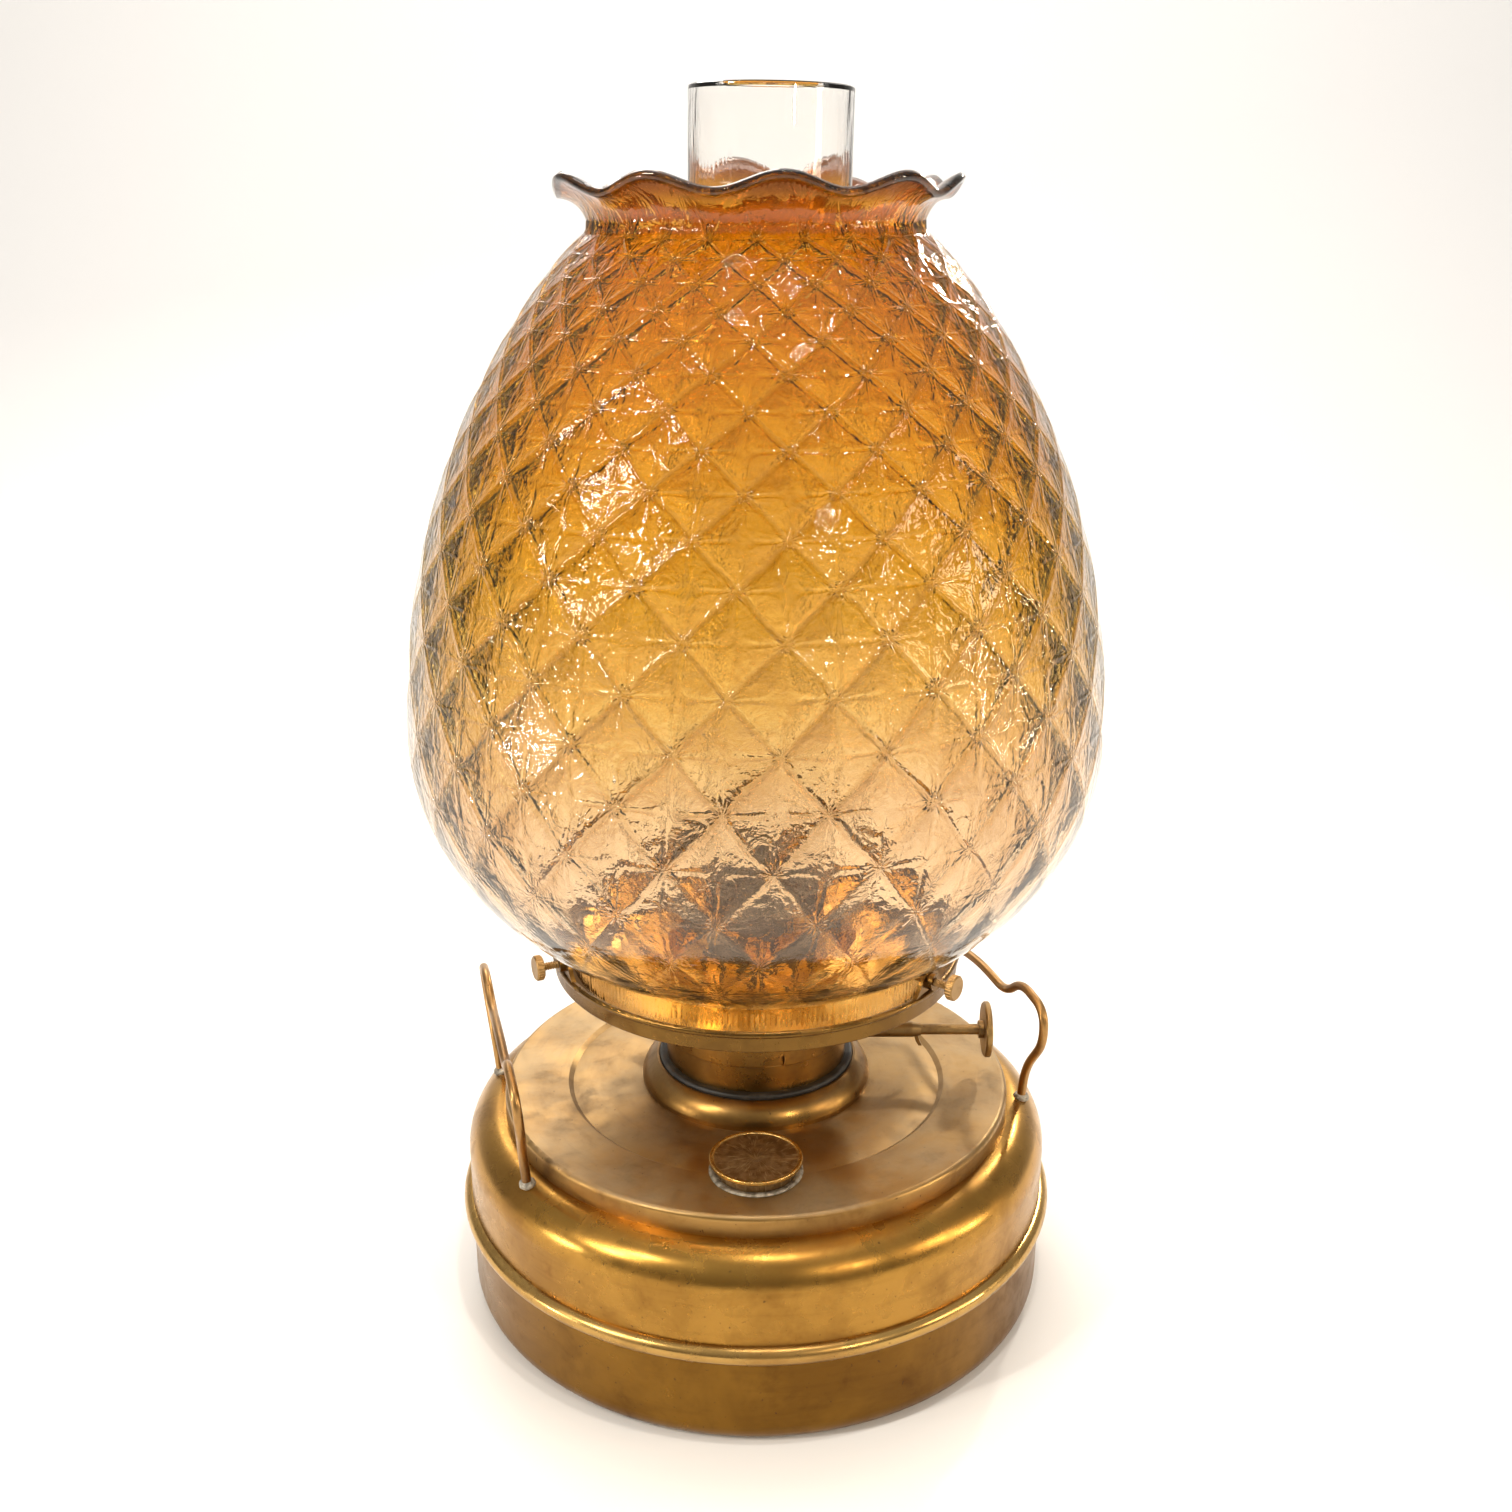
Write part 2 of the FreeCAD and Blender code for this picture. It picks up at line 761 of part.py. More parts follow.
def make_wick():
    """Cotton wick: a flat tail in the fuel that widens into an open ring inside the tubes."""
    body = new_body("wick")
    face = -wick_face
    back = face - size("wick_thickness")
    half = wick_tail_half
    tail = new_sketch(body, "tail_outline", "XY_Plane", size("wick_tail_bottom"))
    draw_outline(tail, rectangle(-half, half, back, face))
    extrude(body, "tail", tail, wick_tail_top - size("wick_tail_bottom"))
    ring = [
        (wick_inside, wick_ring_bottom),
        (wick_outside, wick_ring_bottom),
        (wick_outside, tube_top + size("wick_end_rise")),
        (wick_inside, tube_top + size("wick_end_rise")),
    ]
    turn_profile(body, "ring", ring)
    half_gap = 8
    gap = new_sketch(body, "duct_gap_outline", "YZ_Plane")
    draw_outline(gap, rectangle(-half_gap, half_gap, wick_ring_bottom - 1, tube_top + 2))
    extrude(body, "duct_gap", gap, tube_outside + 5, "Pocket")


# ---------------------------------------------------------------- winder
def along_spindle(label, outline):
    """Turn an outline of (radius, distance) corners and lay it along +X at the spindle's height."""
    body = turned(label, outline)
    body.Placement.Rotation = FreeCAD.Rotation(FreeCAD.Vector(0, 1, 0), 90)
    body.setExpression("Placement.Base.z", spindle_height.text)
    return body


def make_spindle():
    radius = size("spindle_radius")
    ease = 0.4
    far_end = -(tube_outside + 1.5)
    knob_end = size("knob_distance") + knob_bite
    along_spindle("winder_spindle", [
        (0, far_end),
        (radius - ease, far_end),
        (radius, far_end + ease),
        (radius, knob_end),
        (0, knob_end),
    ])


def make_star_wheels():
    """Three small toothed wheels on the spindle that lift the wick."""
    radius = number("star_wheel_radius")
    hub = number("spindle_radius")
    teeth = 10
    root_share = 0.78
    width = 1.6
    corners = []
    for step in range(teeth * 2):
        reach = radius if step % 2 == 0 else radius * root_share
        angle = math.pi * step / teeth
        corners.append(FreeCAD.Vector(0, reach * math.cos(angle), reach * math.sin(angle)))
    outline = Part.Face(Part.makePolygon(corners + corners[:1]))
    wheels = []
    for place in (-11, 0, 11):
        wheel = outline.extrude(FreeCAD.Vector(width, 0, 0))
        wheel = wheel.cut(Part.makeCylinder(hub, 4, FreeCAD.Vector(-1, 0, 0), FreeCAD.Vector(1, 0, 0)))
        wheel.translate(FreeCAD.Vector(place - width / 2, 0, spindle_height.value))
        wheels.append(wheel)
    new_feature("winder_star_wheels", Part.makeCompound(wheels))


def make_sleeve():
    """Sleeve soldered to the burner that carries the spindle, with a small hook under its end."""
    start = burner_radius
    end = start + size("sleeve_length")
    radius = size("sleeve_radius")
    taper_length, taper, hook_width = 3, 0.5, 1.6
    body = along_spindle("winder_sleeve", [
        (spindle_hole, start),
        (radius, start),
        (radius, end - taper_length),
        (radius - taper, end),
        (spindle_hole, end),
    ])
    hook = new_sketch(body, "hook_outline", "XZ_Plane")
    # across is down here, because the sleeve is laid on its side
    draw_outline(hook, [
        (radius - 0.7, end - 2.2),
        (radius + 1.4, end - 1.6),
        (radius + 3.2, end - 0.6),
        (radius + 3.2, end + 0.5),
        (radius + 1.2, end - 0.4),
        (radius - 0.7, end - 0.9),
    ])
    extrude(body, "hook", hook, hook_width, both_ways=True)


def make_knob():
    """Domed disc knob with a small boss, fixed on the spindle's outer end."""
    radius = size("knob_radius")
    start = size("knob_distance")
    end = start + size("knob_thickness")
    hub = size("spindle_radius")
    boss_length, boss_wall, ease = 1.6, 1.2, 0.5
    dome = as_size(0.6)
    dome_bend = ((radius - dome) * (radius - dome) + dome * dome) / (dome * 2)
    along_spindle("winder_knob", [
        (hub, start - boss_length),
        (hub + boss_wall, start - boss_length),
        (hub + boss_wall, start),
        (radius - ease, start),
        (radius, start + ease),
        (radius, end - dome * 2),
        (radius - dome, end - dome, dome, "left"),
        (0, end, dome_bend, "left"),
        (0, start + knob_bite),
        (hub, start + knob_bite),
    ])


# ---------------------------------------------------------------- chimney gallery
def make_gallery_ring():
    """Rounded bayonet ring on the burner, with three entry slots for the studs."""
    outside = ring_radius
    wall, play, shelf, foot_bend, top_bend = 0.6, 0.12, 4, 0.5, 1.5
    inner_bend = top_bend - wall
    groove = outside - wall
    lip = burner_radius + play
    foot = band_top + 0.1
    lip_top = foot + 0.8
    top_inside = burner_radius - shelf
    body = turned("gallery_ring", [
        (lip, foot),
        (outside - foot_bend, foot),
        (outside, foot + foot_bend, foot_bend, "left"),
        (outside, ring_top - top_bend),
        (outside - top_bend, ring_top, top_bend, "left"),
        (top_inside, ring_top),
        (top_inside, ring_top - wall),
        (groove - inner_bend, ring_top - wall),
        (groove, ring_top - top_bend, inner_bend, "right"),
        (groove, lip_top),
        (lip, lip_top),
    ])
    slot = new_sketch(body, "slot_outline", "YZ_Plane")
    half = size("slot_width") / 2
    draw_outline(slot, rectangle(-half, half, band_top - 1, band_top + size("slot_height")))
    cut = extrude(body, "slot", slot, ring_radius + 5, "Pocket", backwards=True)
    repeat_round(body, "slots", [cut], 3)
    turn_body(body, size("slot_angle"))


def make_air_strainer():
    """Pierced disc round the wick tube."""
    play, thickness, hole_radius, holes = 0.5, 0.6, 0.9, 30
    row_shares = (0.235, 0.535, 0.817)
    inside = tube_outside + play
    outside = coronet_inside
    body = turned("air_strainer", [
        (inside, ring_top),
        (outside, ring_top),
        (outside, ring_top + thickness),
        (inside, ring_top + thickness),
    ])
    for row, share in enumerate(row_shares):
        sketch = new_sketch(body, f"hole_row_{row}_circle", "XY_Plane")
        draw_circle(sketch, inside + (outside - inside) * share, 0, hole_radius)
        hole = extrude(body, f"hole_row_{row}", sketch, ring_top * 3, "Pocket", both_ways=True)
        repeat_round(body, f"hole_row_{row}_round", [hole], holes)


def make_coronet():
    """Pierced gallery that grips the chimney: a ledge inside and a crown of springy fingers."""
    seat = chimney_seat
    top = seat + size("coronet_height")
    bottom = ring_top
    ledge = coronet_inside - size("coronet_ledge")
    fingers = int(number("coronet_fingers"))
    ledge_thickness, slit_foot, slit_flare = 0.6, 4.5, 1.0
    piercing_drop, piercing_radius = 6, 1.6
    body = turned("chimney_coronet", [
        (coronet_inside, bottom),
        (coronet_outside, bottom),
        (coronet_outside, top),
        (coronet_inside, top),
        (coronet_inside, seat),
        (ledge, seat),
        (ledge, seat - ledge_thickness),
        (coronet_inside, seat - ledge_thickness),
    ])
    slit = new_sketch(body, "slit_outline", "YZ_Plane")
    half = as_size(1.7)
    draw_outline(slit, [
        (-half, seat + slit_foot),
        (half, seat + slit_foot, half + 0.1, "left"),
        (half + slit_flare, top + 1),
        (-half - slit_flare, top + 1),
    ])
    cut = extrude(body, "slit", slit, coronet_outside + 5, "Pocket", backwards=True)
    repeat_round(body, "slits", [cut], fingers)
    piercing = new_sketch(body, "piercing_circle", "YZ_Plane")
    draw_circle(piercing, 0, seat - piercing_drop, piercing_radius)
    hole = extrude(body, "piercing", piercing, coronet_outside + 5, "Pocket", backwards=True)
    repeat_round(body, "piercings", [hole], fingers)


# ---------------------------------------------------------------- shade holder
def make_shade_holder():
    """Spun pan soldered round the coronet, with a beaded rim that rises to an ear at each screw."""
    rim = holder_radius
    bottom = holder_bottom
    top = holder_top
    bead = size("holder_bead")
    hub = coronet_outside + 0.1
    wall = sheet_thickness
    dish = hub + 14
    ease = 0.6
    body = turned("shade_holder_pan", [
        (hub, bottom - 9),
        (hub + wall, bottom - 9),
        (hub + wall, bottom - 4.6),
        (dish, bottom - 6.0, 26, "left"),
        (rim - 9, bottom, 20, "left"),
        (rim - ease, bottom),
        (rim, bottom + ease, ease, "left"),
        (rim, top - bead * 2),
        (rim, top, bead + 0.03, "left"),
        (holder_inside, top - ease),
        (holder_inside, bottom + wall),
        (rim - 9.3, bottom + wall),
        (dish, bottom - 5.2, 19.2, "right"),
        (hub + wall, bottom - 3.4, 26.8, "right"),
        (hub, bottom - 3.4),
    ])
    ear = new_sketch(body, "ear_outline", "YZ_Plane", holder_inside)
    screw = screw_height
    draw_outline(ear, [
        (-11, top - 1.6, 12, "right"),
        (11, top - 1.6),
        (5.5, screw - 0.4, 12, "right"),
        (3.4, screw + 2.2, 4, "left"),
        (-3.4, screw + 2.2, 5.5, "left"),
        (-5.5, screw - 0.4, 4, "left"),
    ])
    plate = extrude(body, "ear", ear, size("holder_rim_wall"))
    boss_radius, boss_length = 2.7, 2.6
    boss = new_sketch(body, "boss_circle", "YZ_Plane", holder_inside + ease)
    draw_circle(boss, 0, screw, boss_radius)
    nut = extrude(body, "boss", boss, boss_length)
    hole = new_sketch(body, "screw_hole_circle", "YZ_Plane")
    draw_circle(hole, 0, screw, size("screw_radius") + size("running_gap"))
    cut = extrude(body, "screw_hole", hole, rim + 10, "Pocket", backwards=True)
    repeat_round(body, "ears", [plate, nut, cut], 3)
    turn_body(body, size("screw_angle"))


def make_shade_screws():
    """Three thumb screws: a plain threaded rod and a milled head."""
    radius = number("screw_radius")
    tip = number("shade_lip_radius") + number("seat_gap")
    head_start = (holder_radius + size("screw_head_reach")).value
    head_radius = number("screw_head_radius")
    thickness = number("screw_head_thickness")
    notches, notch_radius, notch_lift = 24, 0.36, 0.18
    rod_bite, chamfer = 1, 0.45
    along = FreeCAD.Vector(1, 0, 0)
    height = screw_height.value
    for index in range(3):
        start = FreeCAD.Vector(tip, 0, height)
        rod = Part.makeCylinder(radius, head_start + rod_bite - tip, start, along)
        head = Part.makeCylinder(head_radius, thickness, FreeCAD.Vector(head_start, 0, height), along)
        head = head.makeChamfer(chamfer, [head.Edges[0], head.Edges[2]])
        head = head.cut(Part.makeCylinder(radius, rod_bite, FreeCAD.Vector(head_start, 0, height), along))
        for notch in range(notches):
            angle = math.radians(360 * notch / notches)
            place = FreeCAD.Vector(0, math.cos(angle), math.sin(angle)) * (head_radius + notch_lift)
            groove = FreeCAD.Vector(head_start - 1, place.y, height + place.z)
            head = head.cut(Part.makeCylinder(notch_radius, thickness + 2, groove, along))
        angle = number("screw_angle") + 120 * index
        for label, shape in (("rod", rod), ("head", head)):
            new_feature(f"shade_screw_{label}_{index + 1}", shape, angle)


# ---------------------------------------------------------------- glass
def make_chimney():
    """Glass chimney: a wide straight base, a shoulder and a narrow straight tube."""
    base = size("chimney_base_radius")
    tube = size("chimney_tube_radius")
    wall = size("chimney_wall")
    seat = chimney_seat
    low = seat + size("chimney_base_height")
    rise = size("chimney_shoulder_height")
    step = base - tube
    bend = (rise * rise + step * step) / (step * 4)
    middle = (base + tube) / 2
    turned("chimney", [
        (base - wall, seat),
        (base, seat),
        (base, low),
        (middle, low + rise / 2, bend, "left"),
        (tube, low + rise, bend, "right"),
        (tube, chimney_top - 0.8),
        (tube - wall, chimney_top - 0.8, wall * 0.55, "left"),
        (tube - wall, low + rise),
        (middle - wall, low + rise / 2, bend, "left"),
        (base - wall, low, bend, "right"),
    ])


def shade_curve():
    """Points of the shade's outer face, from the foot of the lip to the rim."""
    lip = number("shade_lip_radius")
    belly = number("shade_belly_radius")
    neck = number("shade_neck_radius")
    rim = number("shade_rim_radius")
    parts = ("lip", "belly", "neck", "rim")
    heights = [shade_bottom.value + number(f"shade_{part}_height") for part in parts]
    lip_top, belly_height, neck_height, rim_height = heights
    points = []
    for step in range(1, 18):
        angle = math.pi / 2 * step / 18
        below = math.cos(angle)
        reach = (1 - below * below) ** 0.77
        points.append((lip + (belly - lip) * reach, belly_height - (belly_height - lip_top) * below))
    for step in range(0, 18):
        angle = math.pi / 2 * step / 18
        above = math.sin(angle)
        reach = (1 - above * above) ** 0.85
        points.append((neck + (belly - neck) * reach, belly_height + (neck_height - belly_height) * above))
    points.append((neck, neck_height))
    for step in range(1, 5):
        angle = math.radians(78) * step / 4
        flare = (1 - math.cos(angle)) / (1 - math.cos(math.radians(78)))
        climb = math.sin(angle) / math.sin(math.radians(78))
        points.append((neck + (rim - neck) * flare, neck_height + (rim_height - neck_height) * climb))
    return [FreeCAD.Vector(radius, 0, height) for radius, height in points]


def make_shade():
    """Blown glass shade: a straight lip, a wide belly, a narrow neck and a flared rim."""
    wall = number("shade_wall")
    lip = number("shade_lip_radius")
    bottom = shade_bottom.value
    outer_points = shade_curve()
    outer = Part.BSplineCurve()
    outer.interpolate(outer_points)
    inner_points = []
    for point in outer_points:
        along = FreeCAD.Vector(*outer.tangent(outer.parameter(point))[0])
        inner_points.append(point + FreeCAD.Vector(-along.z, 0, along.x) * wall)
    inner_points[0] = FreeCAD.Vector(lip - wall, 0, outer_points[0].z + 1.4)
    inner = Part.BSplineCurve()
    inner.interpolate(inner_points)
    corners = [
        outer_points[0],
        FreeCAD.Vector(lip, 0, outer_points[0].z - 0.4),
        FreeCAD.Vector(lip, 0, bottom),
        FreeCAD.Vector(lip - wall, 0, bottom),
        inner_points[0],
    ]
    edges = [Part.LineSegment(a, b).toShape() for a, b in zip(corners, corners[1:])]
    edges.append(inner.toShape())
    edges.append(Part.LineSegment(inner_points[-1], outer_points[-1]).toShape())
    edges.append(outer.toShape())
    section = Part.Face(Part.Wire(Part.__sortEdges__(edges)))
    new_feature("shade", section.revolve(FreeCAD.Vector(0, 0, 0), FreeCAD.Vector(0, 0, 1), 360))


# ---------------------------------------------------------------- the whole lamp
make_base_cup()
make_upper_shell()
make_seam_bead()
make_top_plate()
make_collar()
make_burner_seal()
make_filler_neck()
make_filler_gasket()
make_filler_cap()
make_filler_solder()
handle_feet = make_handle("handle_wire_right", number("handle_right_angle"), number("handle_right_lean"))
handle_feet += make_handle("handle_wire_left", number("handle_left_angle"), number("handle_left_lean"))
make_handle_solder(handle_feet)
make_burner_band()
make_bayonet_studs()
make_burner_floor()
make_outer_tube()
make_inner_tube()
make_draught_duct()
make_wick()
make_spindle()
make_star_wheels()
make_sleeve()
make_knob()
make_gallery_ring()
make_air_strainer()
make_coronet()
make_shade_holder()
make_shade_screws()
make_chimney()
make_shade()
document.recompute()

for item in document.Objects:
    if "Invalid" in item.State or "Error" in item.State:
        raise RuntimeError(f"{item.Label} failed: {item.State}")
for body in bodies:
    shape = body.Shape
    if shape.isNull() or not shape.isValid() or not shape.Solids:
        raise RuntimeError(f"{body.Label} has no valid solid")
for body in bodies:
    body.Shape.exportStep(f"parts/{body.Label}.step")
    box = body.Shape.BoundBox
    print(f"{body.Label}: {len(body.Shape.Solids)} solid, {body.Shape.Volume:.0f} mm3, "
          f"z {box.ZMin:.1f} to {box.ZMax:.1f}")
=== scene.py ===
import math

import bmesh
import bpy
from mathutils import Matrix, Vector, noise


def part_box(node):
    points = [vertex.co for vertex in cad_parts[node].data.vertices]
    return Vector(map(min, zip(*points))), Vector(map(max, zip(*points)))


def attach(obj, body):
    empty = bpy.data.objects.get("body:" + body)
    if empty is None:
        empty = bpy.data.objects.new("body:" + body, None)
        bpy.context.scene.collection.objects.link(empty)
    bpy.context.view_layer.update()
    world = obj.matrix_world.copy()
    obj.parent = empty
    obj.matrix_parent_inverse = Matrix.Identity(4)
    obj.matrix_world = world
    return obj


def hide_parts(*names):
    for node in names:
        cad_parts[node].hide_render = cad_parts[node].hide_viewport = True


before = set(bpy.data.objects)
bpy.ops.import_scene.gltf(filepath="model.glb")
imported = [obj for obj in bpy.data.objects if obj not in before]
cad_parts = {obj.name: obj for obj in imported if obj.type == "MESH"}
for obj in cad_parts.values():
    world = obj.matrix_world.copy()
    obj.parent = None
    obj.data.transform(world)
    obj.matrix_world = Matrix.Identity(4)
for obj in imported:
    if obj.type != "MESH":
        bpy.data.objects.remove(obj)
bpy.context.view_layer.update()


def mm(length):
    return length / 1000


# camera, lights and a seamless pale floor
studio = {
    "cameraHeight": mm(348.9), "cameraDistance": mm(481.2), "cameraTilt": 71.097, "lens": 38.11,
    "skyHigh": (1.0, 0.97, 0.93), "skyLow": (0.40, 0.34, 0.27), "skyFade": (0.02, 0.75),
    "skyStrength": 0.56, "floorColour": (0.90, 0.89, 0.875), "floorRoughness": 0.85,
    "floorFront": -2.6, "floorBack": 2.4, "floorWidth": 9.0, "wallHeight": 4.5, "sweep": 1.4,
    "aim": (0, 0, 0.18), "backdropAim": (0, 2.4, 1.0),
    # name: place, size in metres, watts, colour
    "lamps": {
        "keyLight": ((-1.05, -0.7, 0.85), 0.2, 6.5, (1.0, 0.92, 0.80)),
        "fillLight": ((1.15, -0.45, 0.55), 0.28, 2.8, (1.0, 0.82, 0.62)),
        "backLight": ((-0.35, 1.15, 1.15), 0.6, 7.0, (1.0, 0.95, 0.88)),
        "sparkLeft": ((-0.55, -0.5, 0.75), 0.04, 1.8, (1.0, 0.95, 0.86)),
        "sparkRight": ((0.5, -0.75, 0.6), 0.04, 1.6, (1.0, 0.86, 0.66)),
        "sparkLow": ((-0.75, -0.3, 0.14), 0.05, 1.2, (1.0, 0.97, 0.92)),
        "sparkSide": ((0.8, -0.15, 0.2), 0.05, 1.0, (1.0, 0.90, 0.74)),
        "sparkBack": ((0.45, 0.7, 0.6), 0.05, 2.5, (1.0, 0.93, 0.82)),
        "sparkHigh": ((0.1, -0.25, 1.2), 0.05, 2.5, (1.0, 0.93, 0.84)),
        "backdropLight": ((0.0, 0.9, 2.3), 1.6, 34.0, (1.0, 0.98, 0.96)),
    },
}


def addCamera():
    bpy.ops.object.camera_add(location=(0, -studio["cameraDistance"], studio["cameraHeight"]),
                              rotation=(math.radians(studio["cameraTilt"]), 0, 0))
    camera = bpy.context.object
    camera.data.lens = studio["lens"]
    camera.data.sensor_width = 36
    camera.data.clip_start = 0.01
    bpy.context.scene.camera = camera


def addLamps():
    for name, (place, size, power, colour) in studio["lamps"].items():
        bpy.ops.object.light_add(type="AREA", location=place)
        lamp = bpy.context.object
        lamp.name = name
        lamp.data.size = size
        lamp.data.energy = power
        lamp.data.color = colour
        target = Vector(studio["backdropAim" if name == "backdropLight" else "aim"])
        lamp.rotation_euler = (target - Vector(place)).to_track_quat("-Z", "Y").to_euler()


def addSky():
    world = bpy.data.worlds.new("studioAir")
    bpy.context.scene.world = world
    world.use_nodes = True
    nodes, links = world.node_tree.nodes, world.node_tree.links
    direction = nodes.new("ShaderNodeTexCoord")
    split = nodes.new("ShaderNodeSeparateXYZ")
    fade = nodes.new("ShaderNodeMapRange")
    fade.inputs["From Min"].default_value, fade.inputs["From Max"].default_value = studio["skyFade"]
    mix = nodes.new("ShaderNodeMix")
    mix.data_type = "RGBA"
    mix.inputs[6].default_value = (*studio["skyLow"], 1)
    mix.inputs[7].default_value = (*studio["skyHigh"], 1)
    sky = nodes["Background"]
    sky.inputs["Strength"].default_value = studio["skyStrength"]
    links.new(direction.outputs["Generated"], split.inputs[0])
    links.new(split.outputs["Z"], fade.inputs["Value"])
    links.new(fade.outputs[0], mix.inputs[0])
    links.new(mix.outputs[2], sky.inputs["Color"])


def addFloor():
    bpy.ops.mesh.primitive_plane_add(size=1)
    floor = bpy.context.object
    floor.name = "studioFloor"
    for corner in floor.data.vertices:
        corner.co.x *= studio["floorWidth"]
        corner.co.y = studio["floorBack"] if corner.co.y > 0 else studio["floorFront"]
    bpy.ops.object.mode_set(mode="EDIT")
    bpy.ops.mesh.select_mode(type="EDGE")
    selectEdges(floor, lambda middle: middle.y > studio["floorBack"] - 0.01)
    bpy.ops.mesh.extrude_region_move(TRANSFORM_OT_translate={"value": (0, 0, studio["wallHeight"])})
    selectEdges(floor, lambda middle: middle.y > studio["floorBack"] - 0.01 and middle.z < 0.01)
    bpy.ops.mesh.bevel(offset=studio["sweep"], segments=24)
    bpy.ops.object.mode_set(mode="OBJECT")
    bpy.ops.object.shade_smooth()
    surface = bpy.data.materials.new("paleFloor")
    surface.use_nodes = True
    paint = surface.node_tree.nodes["Principled BSDF"]
    paint.inputs["Base Color"].default_value = (*studio["floorColour"], 1)
    paint.inputs["Roughness"].default_value = studio["floorRoughness"]
    floor.data.materials.append(surface)


def selectEdges(item, wanted):
    # selects the edges whose middle is wanted, in edit mode
    mesh = bmesh.from_edit_mesh(item.data)
    for edge in mesh.edges:
        edge.select_set(False)
    for edge in mesh.edges:
        if wanted((edge.verts[0].co + edge.verts[1].co) / 2):
            edge.select_set(True)
    mesh.select_flush_mode()
    bmesh.update_edit_mesh(item.data)


bpy.ops.object.select_all(action="DESELECT")
bpy.context.scene.view_settings.view_transform = "Standard"
addCamera()
addLamps()
addSky()
addFloor()
print("stage: studio")


# shader helpers
def newGroup(name, inputs, outputs):
    group = bpy.data.node_groups.new(name, "ShaderNodeTree")
    for label, kind, default in inputs:
        socket = group.interface.new_socket(label, in_out="INPUT", socket_type=kind)
        socket.default_value = default
    for label, kind in outputs:
        group.interface.new_socket(label, in_out="OUTPUT", socket_type=kind)
    return group, group.nodes.new("NodeGroupInput"), group.nodes.new("NodeGroupOutput")


def put(tree, kind, **settings):
    node = tree.nodes.new(kind)
    for label, setting in settings.items():
        setattr(node, label, setting)
    return node


def feed(tree, node, **sockets):
    # a socket is named with _ for a space, and takes a number, a colour or another node's output
    for label, source in sockets.items():
        key = int(label[1:]) if label[0] == "i" and label[1:].isdigit() else label.replace("_", " ")
        socket = node.inputs[key]
        if isinstance(source, bpy.types.NodeSocket):
            tree.links.new(source, socket)
        else:
            socket.default_value = source
    return node


def calc(tree, operation, first, second=0.0, clamp=False):
    node = put(tree, "ShaderNodeMath", operation=operation, use_clamp=clamp)
    return feed(tree, node, i0=first, i1=second).outputs[0]


def noiseAt(tree, place, scale, detail=4.0, roughness=0.55, distortion=0.0):
    node = put(tree, "ShaderNodeTexNoise")
    feed(tree, node, Vector=place, Scale=scale, Detail=detail, Roughness=roughness,
         Distortion=distortion)
    return node.outputs["Fac"]


def spread(tree, value, low, high, outLow=0.0, outHigh=1.0):
    node = put(tree, "ShaderNodeMapRange", interpolation_type="SMOOTHSTEP")
    return feed(tree, node, Value=value, i1=low, i2=high, i3=outLow, i4=outHigh).outputs[0]


def mixColour(tree, amount, first, second):
    node = put(tree, "ShaderNodeMix", data_type="RGBA")
    return feed(tree, node, i0=amount, i6=first, i7=second).outputs[2]


def rgb(red, green, blue):
    return (red, green, blue, 1.0)


def lathePlace(tree, place):
    # turns x, y, z into angle, radius and height, so a pattern can follow the turning
    parts = feed(tree, put(tree, "ShaderNodeSeparateXYZ"), Vector=place)
    across, along, height = parts.outputs
    radius = calc(tree, "SQRT", calc(tree, "ADD", calc(tree, "MULTIPLY", across, across),
                                     calc(tree, "MULTIPLY", along, along)))
    angle = calc(tree, "ARCTAN2", along, across)
    return angle, radius, height


